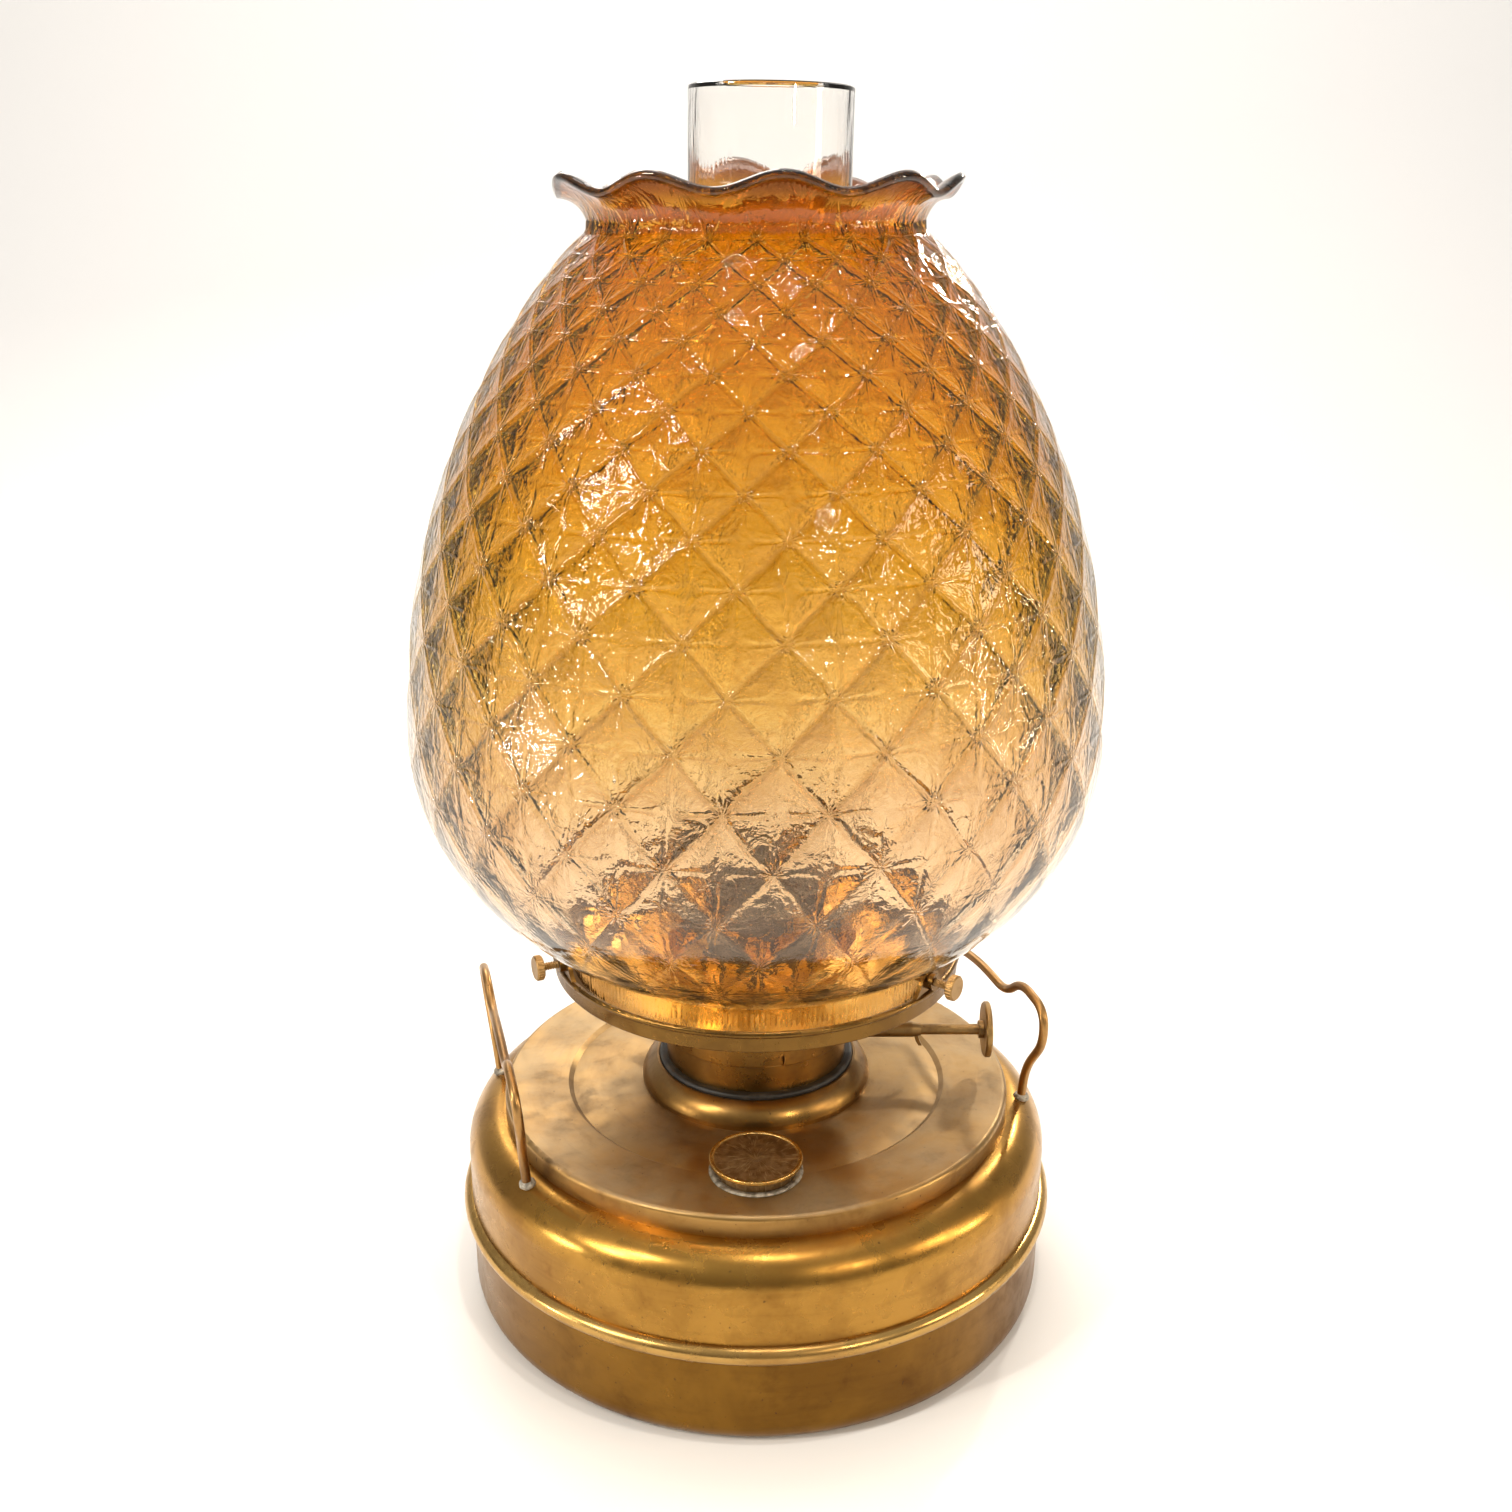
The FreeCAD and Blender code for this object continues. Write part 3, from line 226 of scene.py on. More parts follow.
# spun brass: fine rings left by the lathe, cloudy brown tarnish, specks and dull patches
def buildSpunBrass():
    group, given, result = newGroup("spunBrass", [
        ("Bright", "NodeSocketColor", rgb(0.62, 0.40, 0.13)),
        ("Tarnish", "NodeSocketColor", rgb(0.20, 0.10, 0.035)),
        ("Tarnish Amount", "NodeSocketFloat", 0.5),
        ("Gloss", "NodeSocketFloat", 0.3),
        ("Rings", "NodeSocketFloat", 0.3),
        ("Dust", "NodeSocketFloat", 0.3),
    ], [("Colour", "NodeSocketColor"), ("Roughness", "NodeSocketFloat"),
        ("Height", "NodeSocketFloat")])
    place = put(group, "ShaderNodeTexCoord").outputs["Object"]
    angle, radius, height = lathePlace(group, place)
    turned = put(group, "ShaderNodeCombineXYZ")
    feed(group, turned, X=calc(group, "MULTIPLY", angle, 0.012), Y=radius, Z=height)
    rings = noiseAt(group, turned.outputs[0], 2600.0, 2.0, 0.6)
    broadRings = noiseAt(group, turned.outputs[0], 420.0, 3.0, 0.5)
    clouds = noiseAt(group, place, 28.0, 5.0, 0.6, 0.4)
    blotches = noiseAt(group, place, 95.0, 4.0, 0.62, 0.3)
    specks = noiseAt(group, place, 620.0, 2.0, 0.5)
    tarnish = calc(group, "ADD", spread(group, clouds, 0.38, 0.68, 0.0, 0.75),
                   spread(group, blotches, 0.5, 0.72, 0.0, 0.35))
    tarnish = calc(group, "ADD", tarnish, spread(group, broadRings, 0.5, 0.75, 0.0, 0.2))
    tarnish = calc(group, "MULTIPLY", tarnish, given.outputs["Tarnish Amount"], clamp=True)
    colour = mixColour(group, tarnish, given.outputs["Bright"], given.outputs["Tarnish"])
    spots = spread(group, specks, 0.70, 0.76)
    colour = mixColour(group, calc(group, "MULTIPLY", spots, 0.65), colour, rgb(0.06, 0.035, 0.02))
    # a thin grey film settles on what faces up
    facing = feed(group, put(group, "ShaderNodeSeparateXYZ"),
                  Vector=put(group, "ShaderNodeNewGeometry").outputs["Normal"]).outputs[2]
    film = calc(group, "MULTIPLY", spread(group, facing, 0.35, 0.98),
                spread(group, noiseAt(group, place, 46.0, 6.0, 0.65), 0.34, 0.7, 0.25, 1.0))
    film = calc(group, "MULTIPLY", film, given.outputs["Dust"], clamp=True)
    colour = mixColour(group, film, colour, rgb(0.36, 0.29, 0.19))
    rough = calc(group, "ADD", given.outputs["Gloss"], calc(group, "MULTIPLY", tarnish, 0.16))
    rough = calc(group, "ADD", rough, calc(group, "MULTIPLY", film, 0.32))
    rough = calc(group, "ADD", rough, spread(group, blotches, 0.35, 0.7, -0.04, 0.05), clamp=True)
    relief = calc(group, "MULTIPLY", rings, given.outputs["Rings"])
    relief = calc(group, "ADD", relief, calc(group, "MULTIPLY", broadRings, 0.15))
    relief = calc(group, "ADD", relief, calc(group, "MULTIPLY", clouds, 0.2))
    feed(group, result, Colour=colour, Roughness=rough, Height=relief)
    return group


spunBrass = buildSpunBrass()


def brassMaterial(name, bright, tarnish, amount, gloss, rings, dust, relief):
    material = bpy.data.materials.new(name)
    material.use_nodes = True
    tree = material.node_tree
    metal = tree.nodes["Principled BSDF"]
    finish = put(tree, "ShaderNodeGroup", node_tree=spunBrass)
    feed(tree, finish, Bright=rgb(*bright), Tarnish=rgb(*tarnish), Tarnish_Amount=amount,
         Gloss=gloss, Rings=rings, Dust=dust)
    bump = feed(tree, put(tree, "ShaderNodeBump"), Strength=relief, Distance=0.0002,
                Height=finish.outputs["Height"])
    feed(tree, metal, Base_Color=finish.outputs["Colour"], Roughness=finish.outputs["Roughness"],
         Normal=bump.outputs["Normal"], Metallic=1.0)
    return material


# bright colour, tarnish colour, tarnish amount, gloss, rings, dust and relief
brassLooks = {
    "shellBrass": ((0.42, 0.225, 0.047), (0.16, 0.07, 0.014), 0.65, 0.25, 0.3, 0.0, 0.12),
    # the base cup's brass is painted much darker than the shell's: a painted dark reflection, as if
    # it mirrored a dark floor
    "baseBrassPaintedReflection": ((0.235, 0.118, 0.020), (0.10, 0.042, 0.008), 0.7, 0.30, 0.3, 0.0, 0.25),
    "beadBrass": ((0.52, 0.32, 0.10), (0.24, 0.115, 0.03), 0.5, 0.24, 0.0, 0.0, 0.0),
    "plateBrass": ((0.40, 0.235, 0.075), (0.17, 0.085, 0.026), 0.75, 0.34, 0.25, 0.6, 0.25),
    "burnerBrass": ((0.31, 0.17, 0.045), (0.10, 0.048, 0.016), 0.75, 0.28, 0.3, 0.2, 0.25),
    # the holder's band is dark brown; the pan inside it is painted bright gold further down,
    # painted light
    "holderBrassPaintedLight": ((0.18, 0.095, 0.024), (0.07, 0.034, 0.011), 0.7, 0.25, 0.3, 0.0, 0.12),
    # the coronet and strainer are painted a bright gold, painted light standing in for the light
    # that reaches them through the glass
    "coronetBrassPaintedLight": ((0.74, 0.49, 0.15), (0.38, 0.20, 0.05), 0.5, 0.24, 0.3, 0.0, 0.25),
    "wireBronze": ((0.40, 0.225, 0.08), (0.13, 0.065, 0.03), 0.8, 0.34, 0.05, 0.1, 0.25),
    "screwBrass": ((0.36, 0.22, 0.085), (0.11, 0.06, 0.03), 0.8, 0.40, 0.1, 0.2, 0.25),
    "knobBrass": ((0.40, 0.25, 0.095), (0.14, 0.08, 0.035), 0.7, 0.38, 0.2, 0.2, 0.25),
}
brasses = {name: brassMaterial(name, *look) for name, look in brassLooks.items()}


# painted light: the pan inside the holder's rim is painted a bright gold, brighter than its dark
# brown band, standing in for the light that reaches it through the glass
panLightForm = {"bright": (0.76, 0.50, 0.15), "tarnish": (0.42, 0.23, 0.06), "edge": (mm(54), mm(60))}


def paintLightOnPan(material, bandBright, bandTarnish):
    tree = material.node_tree
    finish = next(node for node in tree.nodes if node.type == "GROUP")
    place = put(tree, "ShaderNodeTexCoord").outputs["Object"]
    inner = spread(tree, lathePlace(tree, place)[1], *panLightForm["edge"], 1.0, 0.0)
    feed(tree, finish, Bright=mixColour(tree, inner, rgb(*bandBright), rgb(*panLightForm["bright"])),
         Tarnish=mixColour(tree, inner, rgb(*bandTarnish), rgb(*panLightForm["tarnish"])))


paintLightOnPan(brasses["holderBrassPaintedLight"], *brassLooks["holderBrassPaintedLight"][:2])


def sootMaterial():
    material = bpy.data.materials.new("sootedBrass")
    material.use_nodes = True
    tree = material.node_tree
    metal = tree.nodes["Principled BSDF"]
    place = put(tree, "ShaderNodeTexCoord").outputs["Object"]
    patches = spread(tree, noiseAt(tree, place, 160.0, 5.0, 0.65), 0.4, 0.72)
    grain = noiseAt(tree, place, 1500.0, 3.0, 0.6)
    height = feed(tree, put(tree, "ShaderNodeSeparateXYZ"), Vector=place).outputs[2]
    # the tubes are lighter brown along their top 2 mm
    lighterTopRim = spread(tree, height, mm(134.5), mm(136.5), 0.0, 0.55)
    colour = mixColour(tree, patches, rgb(0.035, 0.028, 0.024), rgb(0.12, 0.085, 0.06))
    colour = mixColour(tree, lighterTopRim, colour, rgb(0.42, 0.30, 0.20))
    bump = feed(tree, put(tree, "ShaderNodeBump"), Strength=0.5, Distance=0.0003, Height=grain)
    feed(tree, metal, Base_Color=colour, Roughness=spread(tree, patches, 0.0, 1.0, 0.8, 0.5),
         Normal=bump.outputs["Normal"], Metallic=0.7)
    return material


def solderMaterial():
    material = bpy.data.materials.new("dullSolder")
    material.use_nodes = True
    tree = material.node_tree
    metal = tree.nodes["Principled BSDF"]
    place = put(tree, "ShaderNodeTexCoord").outputs["Object"]
    lumps = noiseAt(tree, place, 420.0, 5.0, 0.6)
    bare = spread(tree, lumps, 0.38, 0.66)
    colour = mixColour(tree, bare, rgb(0.17, 0.15, 0.12), rgb(0.50, 0.46, 0.38))
    bump = feed(tree, put(tree, "ShaderNodeBump"), Strength=0.6, Distance=0.0004, Height=lumps)
    feed(tree, metal, Base_Color=colour, Roughness=spread(tree, lumps, 0.3, 0.7, 0.42, 0.7),
         Normal=bump.outputs["Normal"], Metallic=0.75)
    return material


def rubberMaterial():
    material = bpy.data.materials.new("blackRubber")
    material.use_nodes = True
    tree = material.node_tree
    skin = tree.nodes["Principled BSDF"]
    place = put(tree, "ShaderNodeTexCoord").outputs["Object"]
    dust = spread(tree, noiseAt(tree, place, 240.0, 5.0, 0.6), 0.5, 0.8)
    colour = mixColour(tree, dust, rgb(0.014, 0.012, 0.010), rgb(0.07, 0.055, 0.04))
    bump = feed(tree, put(tree, "ShaderNodeBump"), Strength=0.3, Distance=0.0002,
                Height=noiseAt(tree, place, 1800.0, 3.0, 0.6))
    feed(tree, skin, Base_Color=colour, Roughness=spread(tree, dust, 0.0, 1.0, 0.5, 0.8),
         Normal=bump.outputs["Normal"])
    return material


def wickMaterial():
    material = bpy.data.materials.new("wickCotton")
    material.use_nodes = True
    tree = material.node_tree
    cloth = tree.nodes["Principled BSDF"]
    place = put(tree, "ShaderNodeTexCoord").outputs["Object"]
    angle, _, height = lathePlace(tree, place)
    warp = calc(tree, "SINE", calc(tree, "MULTIPLY", angle, 170.0))
    weft = calc(tree, "SINE", calc(tree, "MULTIPLY", height, 9000.0))
    weave = calc(tree, "MULTIPLY", warp, weft)
    charred = spread(tree, height, mm(131), mm(136.5))
    raised = spread(tree, weave, -1.0, 1.0)
    colour = mixColour(tree, raised, rgb(0.50, 0.42, 0.30), rgb(0.76, 0.68, 0.54))
    colour = mixColour(tree, charred, colour, rgb(0.03, 0.022, 0.018))
    bump = feed(tree, put(tree, "ShaderNodeBump"), Strength=0.6, Distance=0.0004, Height=weave)
    feed(tree, cloth, Base_Color=colour, Roughness=0.95, Normal=bump.outputs["Normal"])
    return material


def chimneyGlassMaterial():
    material = bpy.data.materials.new("chimneyGlass")
    material.use_nodes = True
    tree = material.node_tree
    glass = tree.nodes["Principled BSDF"]
    place = put(tree, "ShaderNodeTexCoord").outputs["Object"]
    angle, _, height = lathePlace(tree, place)
    smear = put(tree, "ShaderNodeCombineXYZ")
    feed(tree, smear, X=calc(tree, "MULTIPLY", angle, 0.5),
         Y=calc(tree, "MULTIPLY", height, 3.0), Z=0.0)
    waves = noiseAt(tree, smear.outputs[0], 9.0, 3.0, 0.5)
    film = spread(tree, noiseAt(tree, place, 60.0, 5.0, 0.6), 0.45, 0.8, 0.0, 0.05)
    bump = feed(tree, put(tree, "ShaderNodeBump"), Strength=0.25, Distance=0.0008, Height=waves)
    feed(tree, glass, Base_Color=rgb(0.985, 0.98, 0.965), Roughness=film, IOR=1.5,
         Normal=bump.outputs["Normal"])
    glass.inputs["Transmission Weight"].default_value = 1.0
    return material


# the shade's glass runs from a brown rim through amber to a pale warm tint
shadeTint = {
    "stops": [(0.0, (0.94, 0.88, 0.80)), (0.06, (0.90, 0.80, 0.68)), (0.13, (0.81, 0.66, 0.49)),
              (0.20, (0.775, 0.59, 0.39)), (0.34, (0.745, 0.555, 0.325)),
              (0.47, (0.77, 0.56, 0.20)), (0.58, (0.80, 0.54, 0.10)), (0.74, (0.80, 0.47, 0.045)),
              (0.90, (0.79, 0.40, 0.03)), (0.962, (0.66, 0.29, 0.025)),
              (0.982, (0.30, 0.10, 0.03)), (1.0, (0.12, 0.045, 0.02))],
    # colour of the thicker glass on the ridges, also used as painted shade on every other facet
    "thickGlassAndFacetShade": (0.42, 0.22, 0.05), "thickGlassAndFacetShadeShare": 0.5,
    "diamonds": 24, "creaseWidth": 0.10, "seedScale": 420.0, "reliefHeight": 0.0006,
    # how much of the relief each pattern gives
    "relief": {"creases": 0.3, "folds": 0.24, "upright": 0.26, "ripples": 0.95, "seeds": 0.42},
}


def shadeGlassMaterial():
    low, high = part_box("shade")
    material = bpy.data.materials.new("amberGlass")
    material.use_nodes = True
    tree = material.node_tree
    glass = tree.nodes["Principled BSDF"]
    place = put(tree, "ShaderNodeTexCoord").outputs["Object"]
    height = feed(tree, put(tree, "ShaderNodeSeparateXYZ"), Vector=place).outputs[2]
    drift = noiseAt(tree, place, 9.0, 2.0, 0.5)
    level = calc(tree, "DIVIDE", calc(tree, "SUBTRACT", height, low[2]), high[2] - low[2])
    upper = spread(tree, level, 0.92, 0.96, 1.0, 0.0)
    drift = spread(tree, drift, 0.3, 0.7, -0.04, 0.04)
    level = calc(tree, "ADD", level, calc(tree, "MULTIPLY", drift, upper))
    ramp = put(tree, "ShaderNodeValToRGB")
    feed(tree, ramp, Fac=level)
    stops = shadeTint["stops"]
    while len(ramp.color_ramp.elements) < len(stops):
        ramp.color_ramp.elements.new(0.5)
    for element, (position, colour) in zip(ramp.color_ramp.elements, stops):
        element.position = position
        element.color = rgb(*colour)
    # the quilt's own coordinates give its creases and the little folds round each crossing
    quilt = put(tree, "ShaderNodeUVMap", uv_map="quilt")
    wobble = put(tree, "ShaderNodeTexNoise")
    feed(tree, wobble, Vector=place, Scale=70.0, Detail=2.0)
    spot = feed(tree, put(tree, "ShaderNodeSeparateXYZ"), Vector=quilt.outputs[0])
    across, along = spot.outputs[:2]
    bend = calc(tree, "MULTIPLY", calc(tree, "SUBTRACT", wobble.outputs["Fac"], 0.5), 0.16)
    u = calc(tree, "ADD", calc(tree, "MULTIPLY", across, float(shadeTint["diamonds"])), bend)
    v = calc(tree, "MULTIPLY", along, float(shadeTint["diamonds"]))
    slopes = []
    for operation in ("ADD", "SUBTRACT"):
        turn = calc(tree, "MULTIPLY", calc(tree, operation, u, v), math.pi)
        slopes.append(calc(tree, "ABSOLUTE", calc(tree, "SINE", turn)))
    first, second = slopes
    width = shadeTint["creaseWidth"]
    creases = calc(tree, "MAXIMUM", spread(tree, first, 0.0, width * 2, 1.0, 0.0),
                   spread(tree, second, 0.0, width * 3, 1.0, 0.0))
    crossing = calc(tree, "MULTIPLY", spread(tree, first, 0.1, 0.75, 1.0, 0.0),
                    spread(tree, second, 0.1, 0.75, 1.0, 0.0))
    folds = calc(tree, "SINE", calc(tree, "MULTIPLY", calc(tree, "ARCTAN2", first, second), 13.0))
    away = spread(tree, calc(tree, "ADD", first, second), 0.12, 0.5)
    folds = calc(tree, "MULTIPLY", folds, calc(tree, "MULTIPLY", crossing, away))
    ripples = noiseAt(tree, place, 170.0, 3.0, 0.6, 0.8)
    seeds = noiseAt(tree, place, shadeTint["seedScale"], 2.0, 0.5)
    # the folds that run straight up and straight across between the crossings
    difference = calc(tree, "ABSOLUTE", calc(tree, "SUBTRACT", first, second))
    upright = spread(tree, difference, 0.0, 0.16, 1.0, 0.0)
    share = shadeTint["relief"]
    relief = calc(tree, "MULTIPLY", creases, share["creases"])
    for pattern, name in ((folds, "folds"), (upright, "upright"), (ripples, "ripples"),
                          (seeds, "seeds")):
        relief = calc(tree, "ADD", relief, calc(tree, "MULTIPLY", pattern, share[name]))
    # the glass is thicker, so deeper in colour, on the ridges, and darker in random patches where
    # the ripples rise; every other facet is darker too, painted shade standing in for the light and
    # dark that refraction gives the facets
    paintedFacetShade = spread(tree, calc(tree, "SUBTRACT", first, second), -0.2, 0.2)
    thickGlassAndFacetShade = calc(tree, "ADD", calc(tree, "MULTIPLY", paintedFacetShade, 0.3),
                calc(tree, "MULTIPLY", creases, 0.5))
    thickGlassAndFacetShade = calc(tree, "ADD", thickGlassAndFacetShade, spread(tree, ripples, 0.5, 0.68, 0.0, 0.4), clamp=True)
    quilted = spread(tree, level, 0.16, 0.36)
    thickGlassAndFacetShade = calc(tree, "MULTIPLY", calc(tree, "MULTIPLY", thickGlassAndFacetShade, quilted), shadeTint["thickGlassAndFacetShadeShare"])
    thickGlassAndFacetShade = calc(tree, "MULTIPLY", thickGlassAndFacetShade, spread(tree, level, 0.93, 0.96, 1.0, 0.0))
    colour = mixColour(tree, thickGlassAndFacetShade, ramp.outputs["Color"], rgb(*shadeTint["thickGlassAndFacetShade"]))
    plain = spread(tree, level, 0.14, 0.38, 0.16, 1.0)
    flare = spread(tree, level, 0.935, 0.965, 1.0, 0.2)
    relief = calc(tree, "MULTIPLY", calc(tree, "MULTIPLY", relief, plain), flare)
    bump = feed(tree, put(tree, "ShaderNodeBump"), Strength=1.0,
                Distance=shadeTint["reliefHeight"], Height=relief)
    feed(tree, glass, Base_Color=colour, Roughness=0.0, IOR=1.5,
         Normal=bump.outputs["Normal"])
    glass.inputs["Transmission Weight"].default_value = 1.0
    return material


sootedBrass = sootMaterial()
dullSolder = solderMaterial()
blackRubber = rubberMaterial()
wickCotton = wickMaterial()
chimneyGlass = chimneyGlassMaterial()
amberGlass = shadeGlassMaterial()
print("stage: materials")


# the CAD pieces that keep their shape
nodeFinish = {
    "tank_base_cup": brasses["baseBrassPaintedReflection"], "tank_upper_shell": brasses["shellBrass"],
    "tank_seam_bead": brasses["beadBrass"], "tank_top_plate": brasses["plateBrass"],
    "burner_collar": brasses["burnerBrass"], "filler_neck": brasses["burnerBrass"],
    "filler_cap": brasses["burnerBrass"], "burner_seal": blackRubber, "filler_gasket": blackRubber,
    "burner_band": brasses["burnerBrass"], "bayonet_studs": brasses["burnerBrass"],
    "burner_floor": brasses["burnerBrass"], "outer_wick_tube": sootedBrass,
    "inner_draught_tube": sootedBrass, "draught_duct": sootedBrass, "wick": wickCotton,
    "winder_spindle": brasses["knobBrass"], "winder_star_wheels": brasses["knobBrass"],
    "winder_sleeve": brasses["knobBrass"], "winder_knob": brasses["knobBrass"],
    "gallery_ring": brasses["burnerBrass"], "air_strainer": brasses["coronetBrassPaintedLight"],
    "chimney_coronet": brasses["coronetBrassPaintedLight"], "shade_holder_pan": brasses["holderBrassPaintedLight"],
    "handle_wire_left": brasses["wireBronze"], "handle_wire_right": brasses["wireBronze"],
    "handle_solder": dullSolder, "filler_solder": dullSolder,
    "chimney": chimneyGlass, "shade": amberGlass,
}
for index in (1, 2, 3):
    nodeFinish[f"shade_screw_rod_{index}"] = brasses["screwBrass"]
    nodeFinish[f"shade_screw_head_{index}"] = brasses["screwBrass"]

for name, finish in nodeFinish.items():
    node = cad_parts[name]
    node.data.materials.clear()
    node.data.materials.append(finish)
print("stage: node finishes")


def finishPiece(piece, material, body, nodes, smoothAngle=35):
    # settles the piece at the origin, gives it its material, hides the CAD nodes it stands for and
    # hangs it on its body's empty
    bpy.ops.object.select_all(action="DESELECT")
    piece.select_set(True)
    bpy.context.view_layer.objects.active = piece
    bpy.ops.object.transform_apply(location=True, rotation=True, scale=True)
    if smoothAngle:
        bpy.ops.object.shade_smooth_by_angle(angle=math.radians(smoothAngle))
    piece.data.materials.clear()
    piece.data.materials.append(material)
    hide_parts(*nodes)
    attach(piece, body)


# quilted glass shade
shadeForm = {
    "lip": mm(60.5), "belly": mm(107.4), "neck": mm(48.0), "rim": mm(57.2), "wall": mm(2.6),
    "lipTop": mm(127.0), "bellyHeight": mm(196.0), "neckHeight": mm(343.0), "rimHeight": mm(353.6),
    "lowerPower": 0.77, "upperPower": 0.85,
    "diamonds": 24, "perDiamond": 10, "outerRelief": mm(0.7), "innerRelief": mm(0.9),
    "nodeAngle": -100.75, "nodeHeight": mm(247.4),
    "pitch": [(0.127, 0.041), (0.165, 0.035), (0.205, 0.030), (0.240, 0.0268), (0.275, 0.0222),
              (0.305, 0.0185), (0.330, 0.0150), (0.345, 0.0125)],
    "twist": 0.07, "lobes": 10, "lobeAngle": -83.0, "lobeRise": mm(2.1), "lobeFlare": mm(1.0),
    "rimSteps": 10, "rimTurn": 78, "edgeBulge": mm(1.1),
}


def shadeRadius(height):
    # outer face between the lip and the neck
    form = shadeForm
    if height < form["bellyHeight"]:
        below = (form["bellyHeight"] - height) / (form["bellyHeight"] - form["lipTop"])
        swell = max(1 - below * below, 0) ** form["lowerPower"]
        return form["lip"] + (form["belly"] - form["lip"]) * swell
    above = (height - form["bellyHeight"]) / (form["neckHeight"] - form["bellyHeight"])
    swell = max(1 - above * above, 0) ** form["upperPower"]
    return form["neck"] + (form["belly"] - form["neck"]) * swell


def shadeNormal(height):
    slope = (shadeRadius(height + mm(0.3)) - shadeRadius(height - mm(0.3))) / mm(0.6)
    return Vector((1, 0, -slope)).normalized()


def pitchAt(height):
    points = shadeForm["pitch"]
    for (low, lowPitch), (high, highPitch) in zip(points, points[1:]):
        if height <= high:
            return lowPitch + (highPitch - lowPitch) * max(height - low, 0) / (high - low)
    return points[-1][1]


def quiltRows(step):
    # heights of the quilt's rows, evenly spaced in the pattern, from the lip to the neck
    bottom = shadeForm["lipTop"] + mm(0.4)
    top = shadeForm["neckHeight"] - mm(0.4)
    rows = {}
    for direction in (1, -1):
        height = shadeForm["nodeHeight"]
        row = 0
        while bottom < height < top:
            rows[row] = height
            stride = pitchAt(height) * step
            while stride > 0 and bottom < height < top:
                bit = mm(0.1)
                slope = (shadeRadius(height + bit) - shadeRadius(height)) / bit
                stride -= bit * math.hypot(1, slope)
                height += bit * direction
            row += direction
    return rows


def quiltDepth(first, second):
    # 0 on the ridges and 1 in the middle of a diamond, with folds from crossing to crossing
    soft = 0.02
    a = math.hypot(math.sin(math.pi * first), soft) - soft
    b = math.hypot(math.sin(math.pi * second), soft) - soft
    return 0.25 * max(a * b, 0) ** 0.7 + 0.75 * min(a, b)


def smoothStep(low, high, value):
    t = min(max((value - low) / (high - low), 0), 1)
    return t * t * (3 - 2 * t)


def shadeSections():
    # one section per row: base radius, height, wall direction, quilt row, relief share, flare share
    form = shadeForm
    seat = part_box("shade")[0][2]
    rows = quiltRows(1 / (2 * form["perDiamond"]))
    lowest, highest = min(rows), max(rows)
    sections = []
    level = Vector((1, 0, 0))
    lipHeights = (seat, seat + mm(0.9), seat + mm(4.5), form["lipTop"] - mm(1.2))
    for place, height in enumerate(lipHeights):
        row = lowest - len(lipHeights) + place
        inset = mm(0.5) if place == 0 else 0
        sections.append((form["lip"] - inset, height, level, row, 0, 0))
    for row in range(lowest, highest + 1):
        height = rows[row]
        relief = smoothStep(mm(130), mm(198), height)
        relief *= 1 - 0.3 * smoothStep(mm(300), mm(343), height)
        sections.append((shadeRadius(height), height, shadeNormal(height), row, relief, 0))
    wide = math.radians(form["rimTurn"])
    for step in range(1, form["rimSteps"] + 1):
        turn = wide * step / form["rimSteps"]
        flare = (1 - math.cos(turn)) / (1 - math.cos(wide))
        climb = math.sin(turn) / math.sin(wide)
        radius = form["neck"] + (form["rim"] - form["neck"]) * flare
        height = form["neckHeight"] + (form["rimHeight"] - form["neckHeight"]) * climb
        normal = Vector((math.cos(turn), 0, -math.sin(turn)))
        sections.append((radius, height, normal, highest + step, 0.45 * (1 - climb), flare))
    return sections


def shadePoint(section, index, inside):
    form = shadeForm
    radius, height, normal, row, relief, flare = section
    u = (index + (0.5 if row % 2 else 0)) / form["perDiamond"]
    v = row / (2 * form["perDiamond"])
    lean = form["twist"] * (height - form["nodeHeight"]) / form["belly"]
    angle = math.radians(form["nodeAngle"]) + 2 * math.pi * u / form["diamonds"] + lean
    depth = quiltDepth(u + v, u - v) * relief
    ribs = (0.5 - 0.5 * math.cos(2 * math.pi * u)) * smoothStep(mm(128), mm(134), height)
    depth += 0.3 * ribs * (1 - smoothStep(mm(134), mm(170), height))
    away = -form["wall"] + form["innerRelief"] * depth if inside else -form["outerRelief"] * depth
    waver = noise.noise(Vector((math.cos(angle) * 1.3, math.sin(angle) * 1.3, height * 14)))
    away += waver * mm(0.3) * relief
    lobe = math.cos(form["lobes"] * (angle - math.radians(form["lobeAngle"])))
    reach = radius + normal.x * away + form["lobeFlare"] * lobe * flare
    rise = height + normal.z * away + form["lobeRise"] * lobe * flare ** 0.8
    point = Vector((reach * math.cos(angle), reach * math.sin(angle), rise))
    return point, (u / form["diamonds"], v / form["diamonds"])


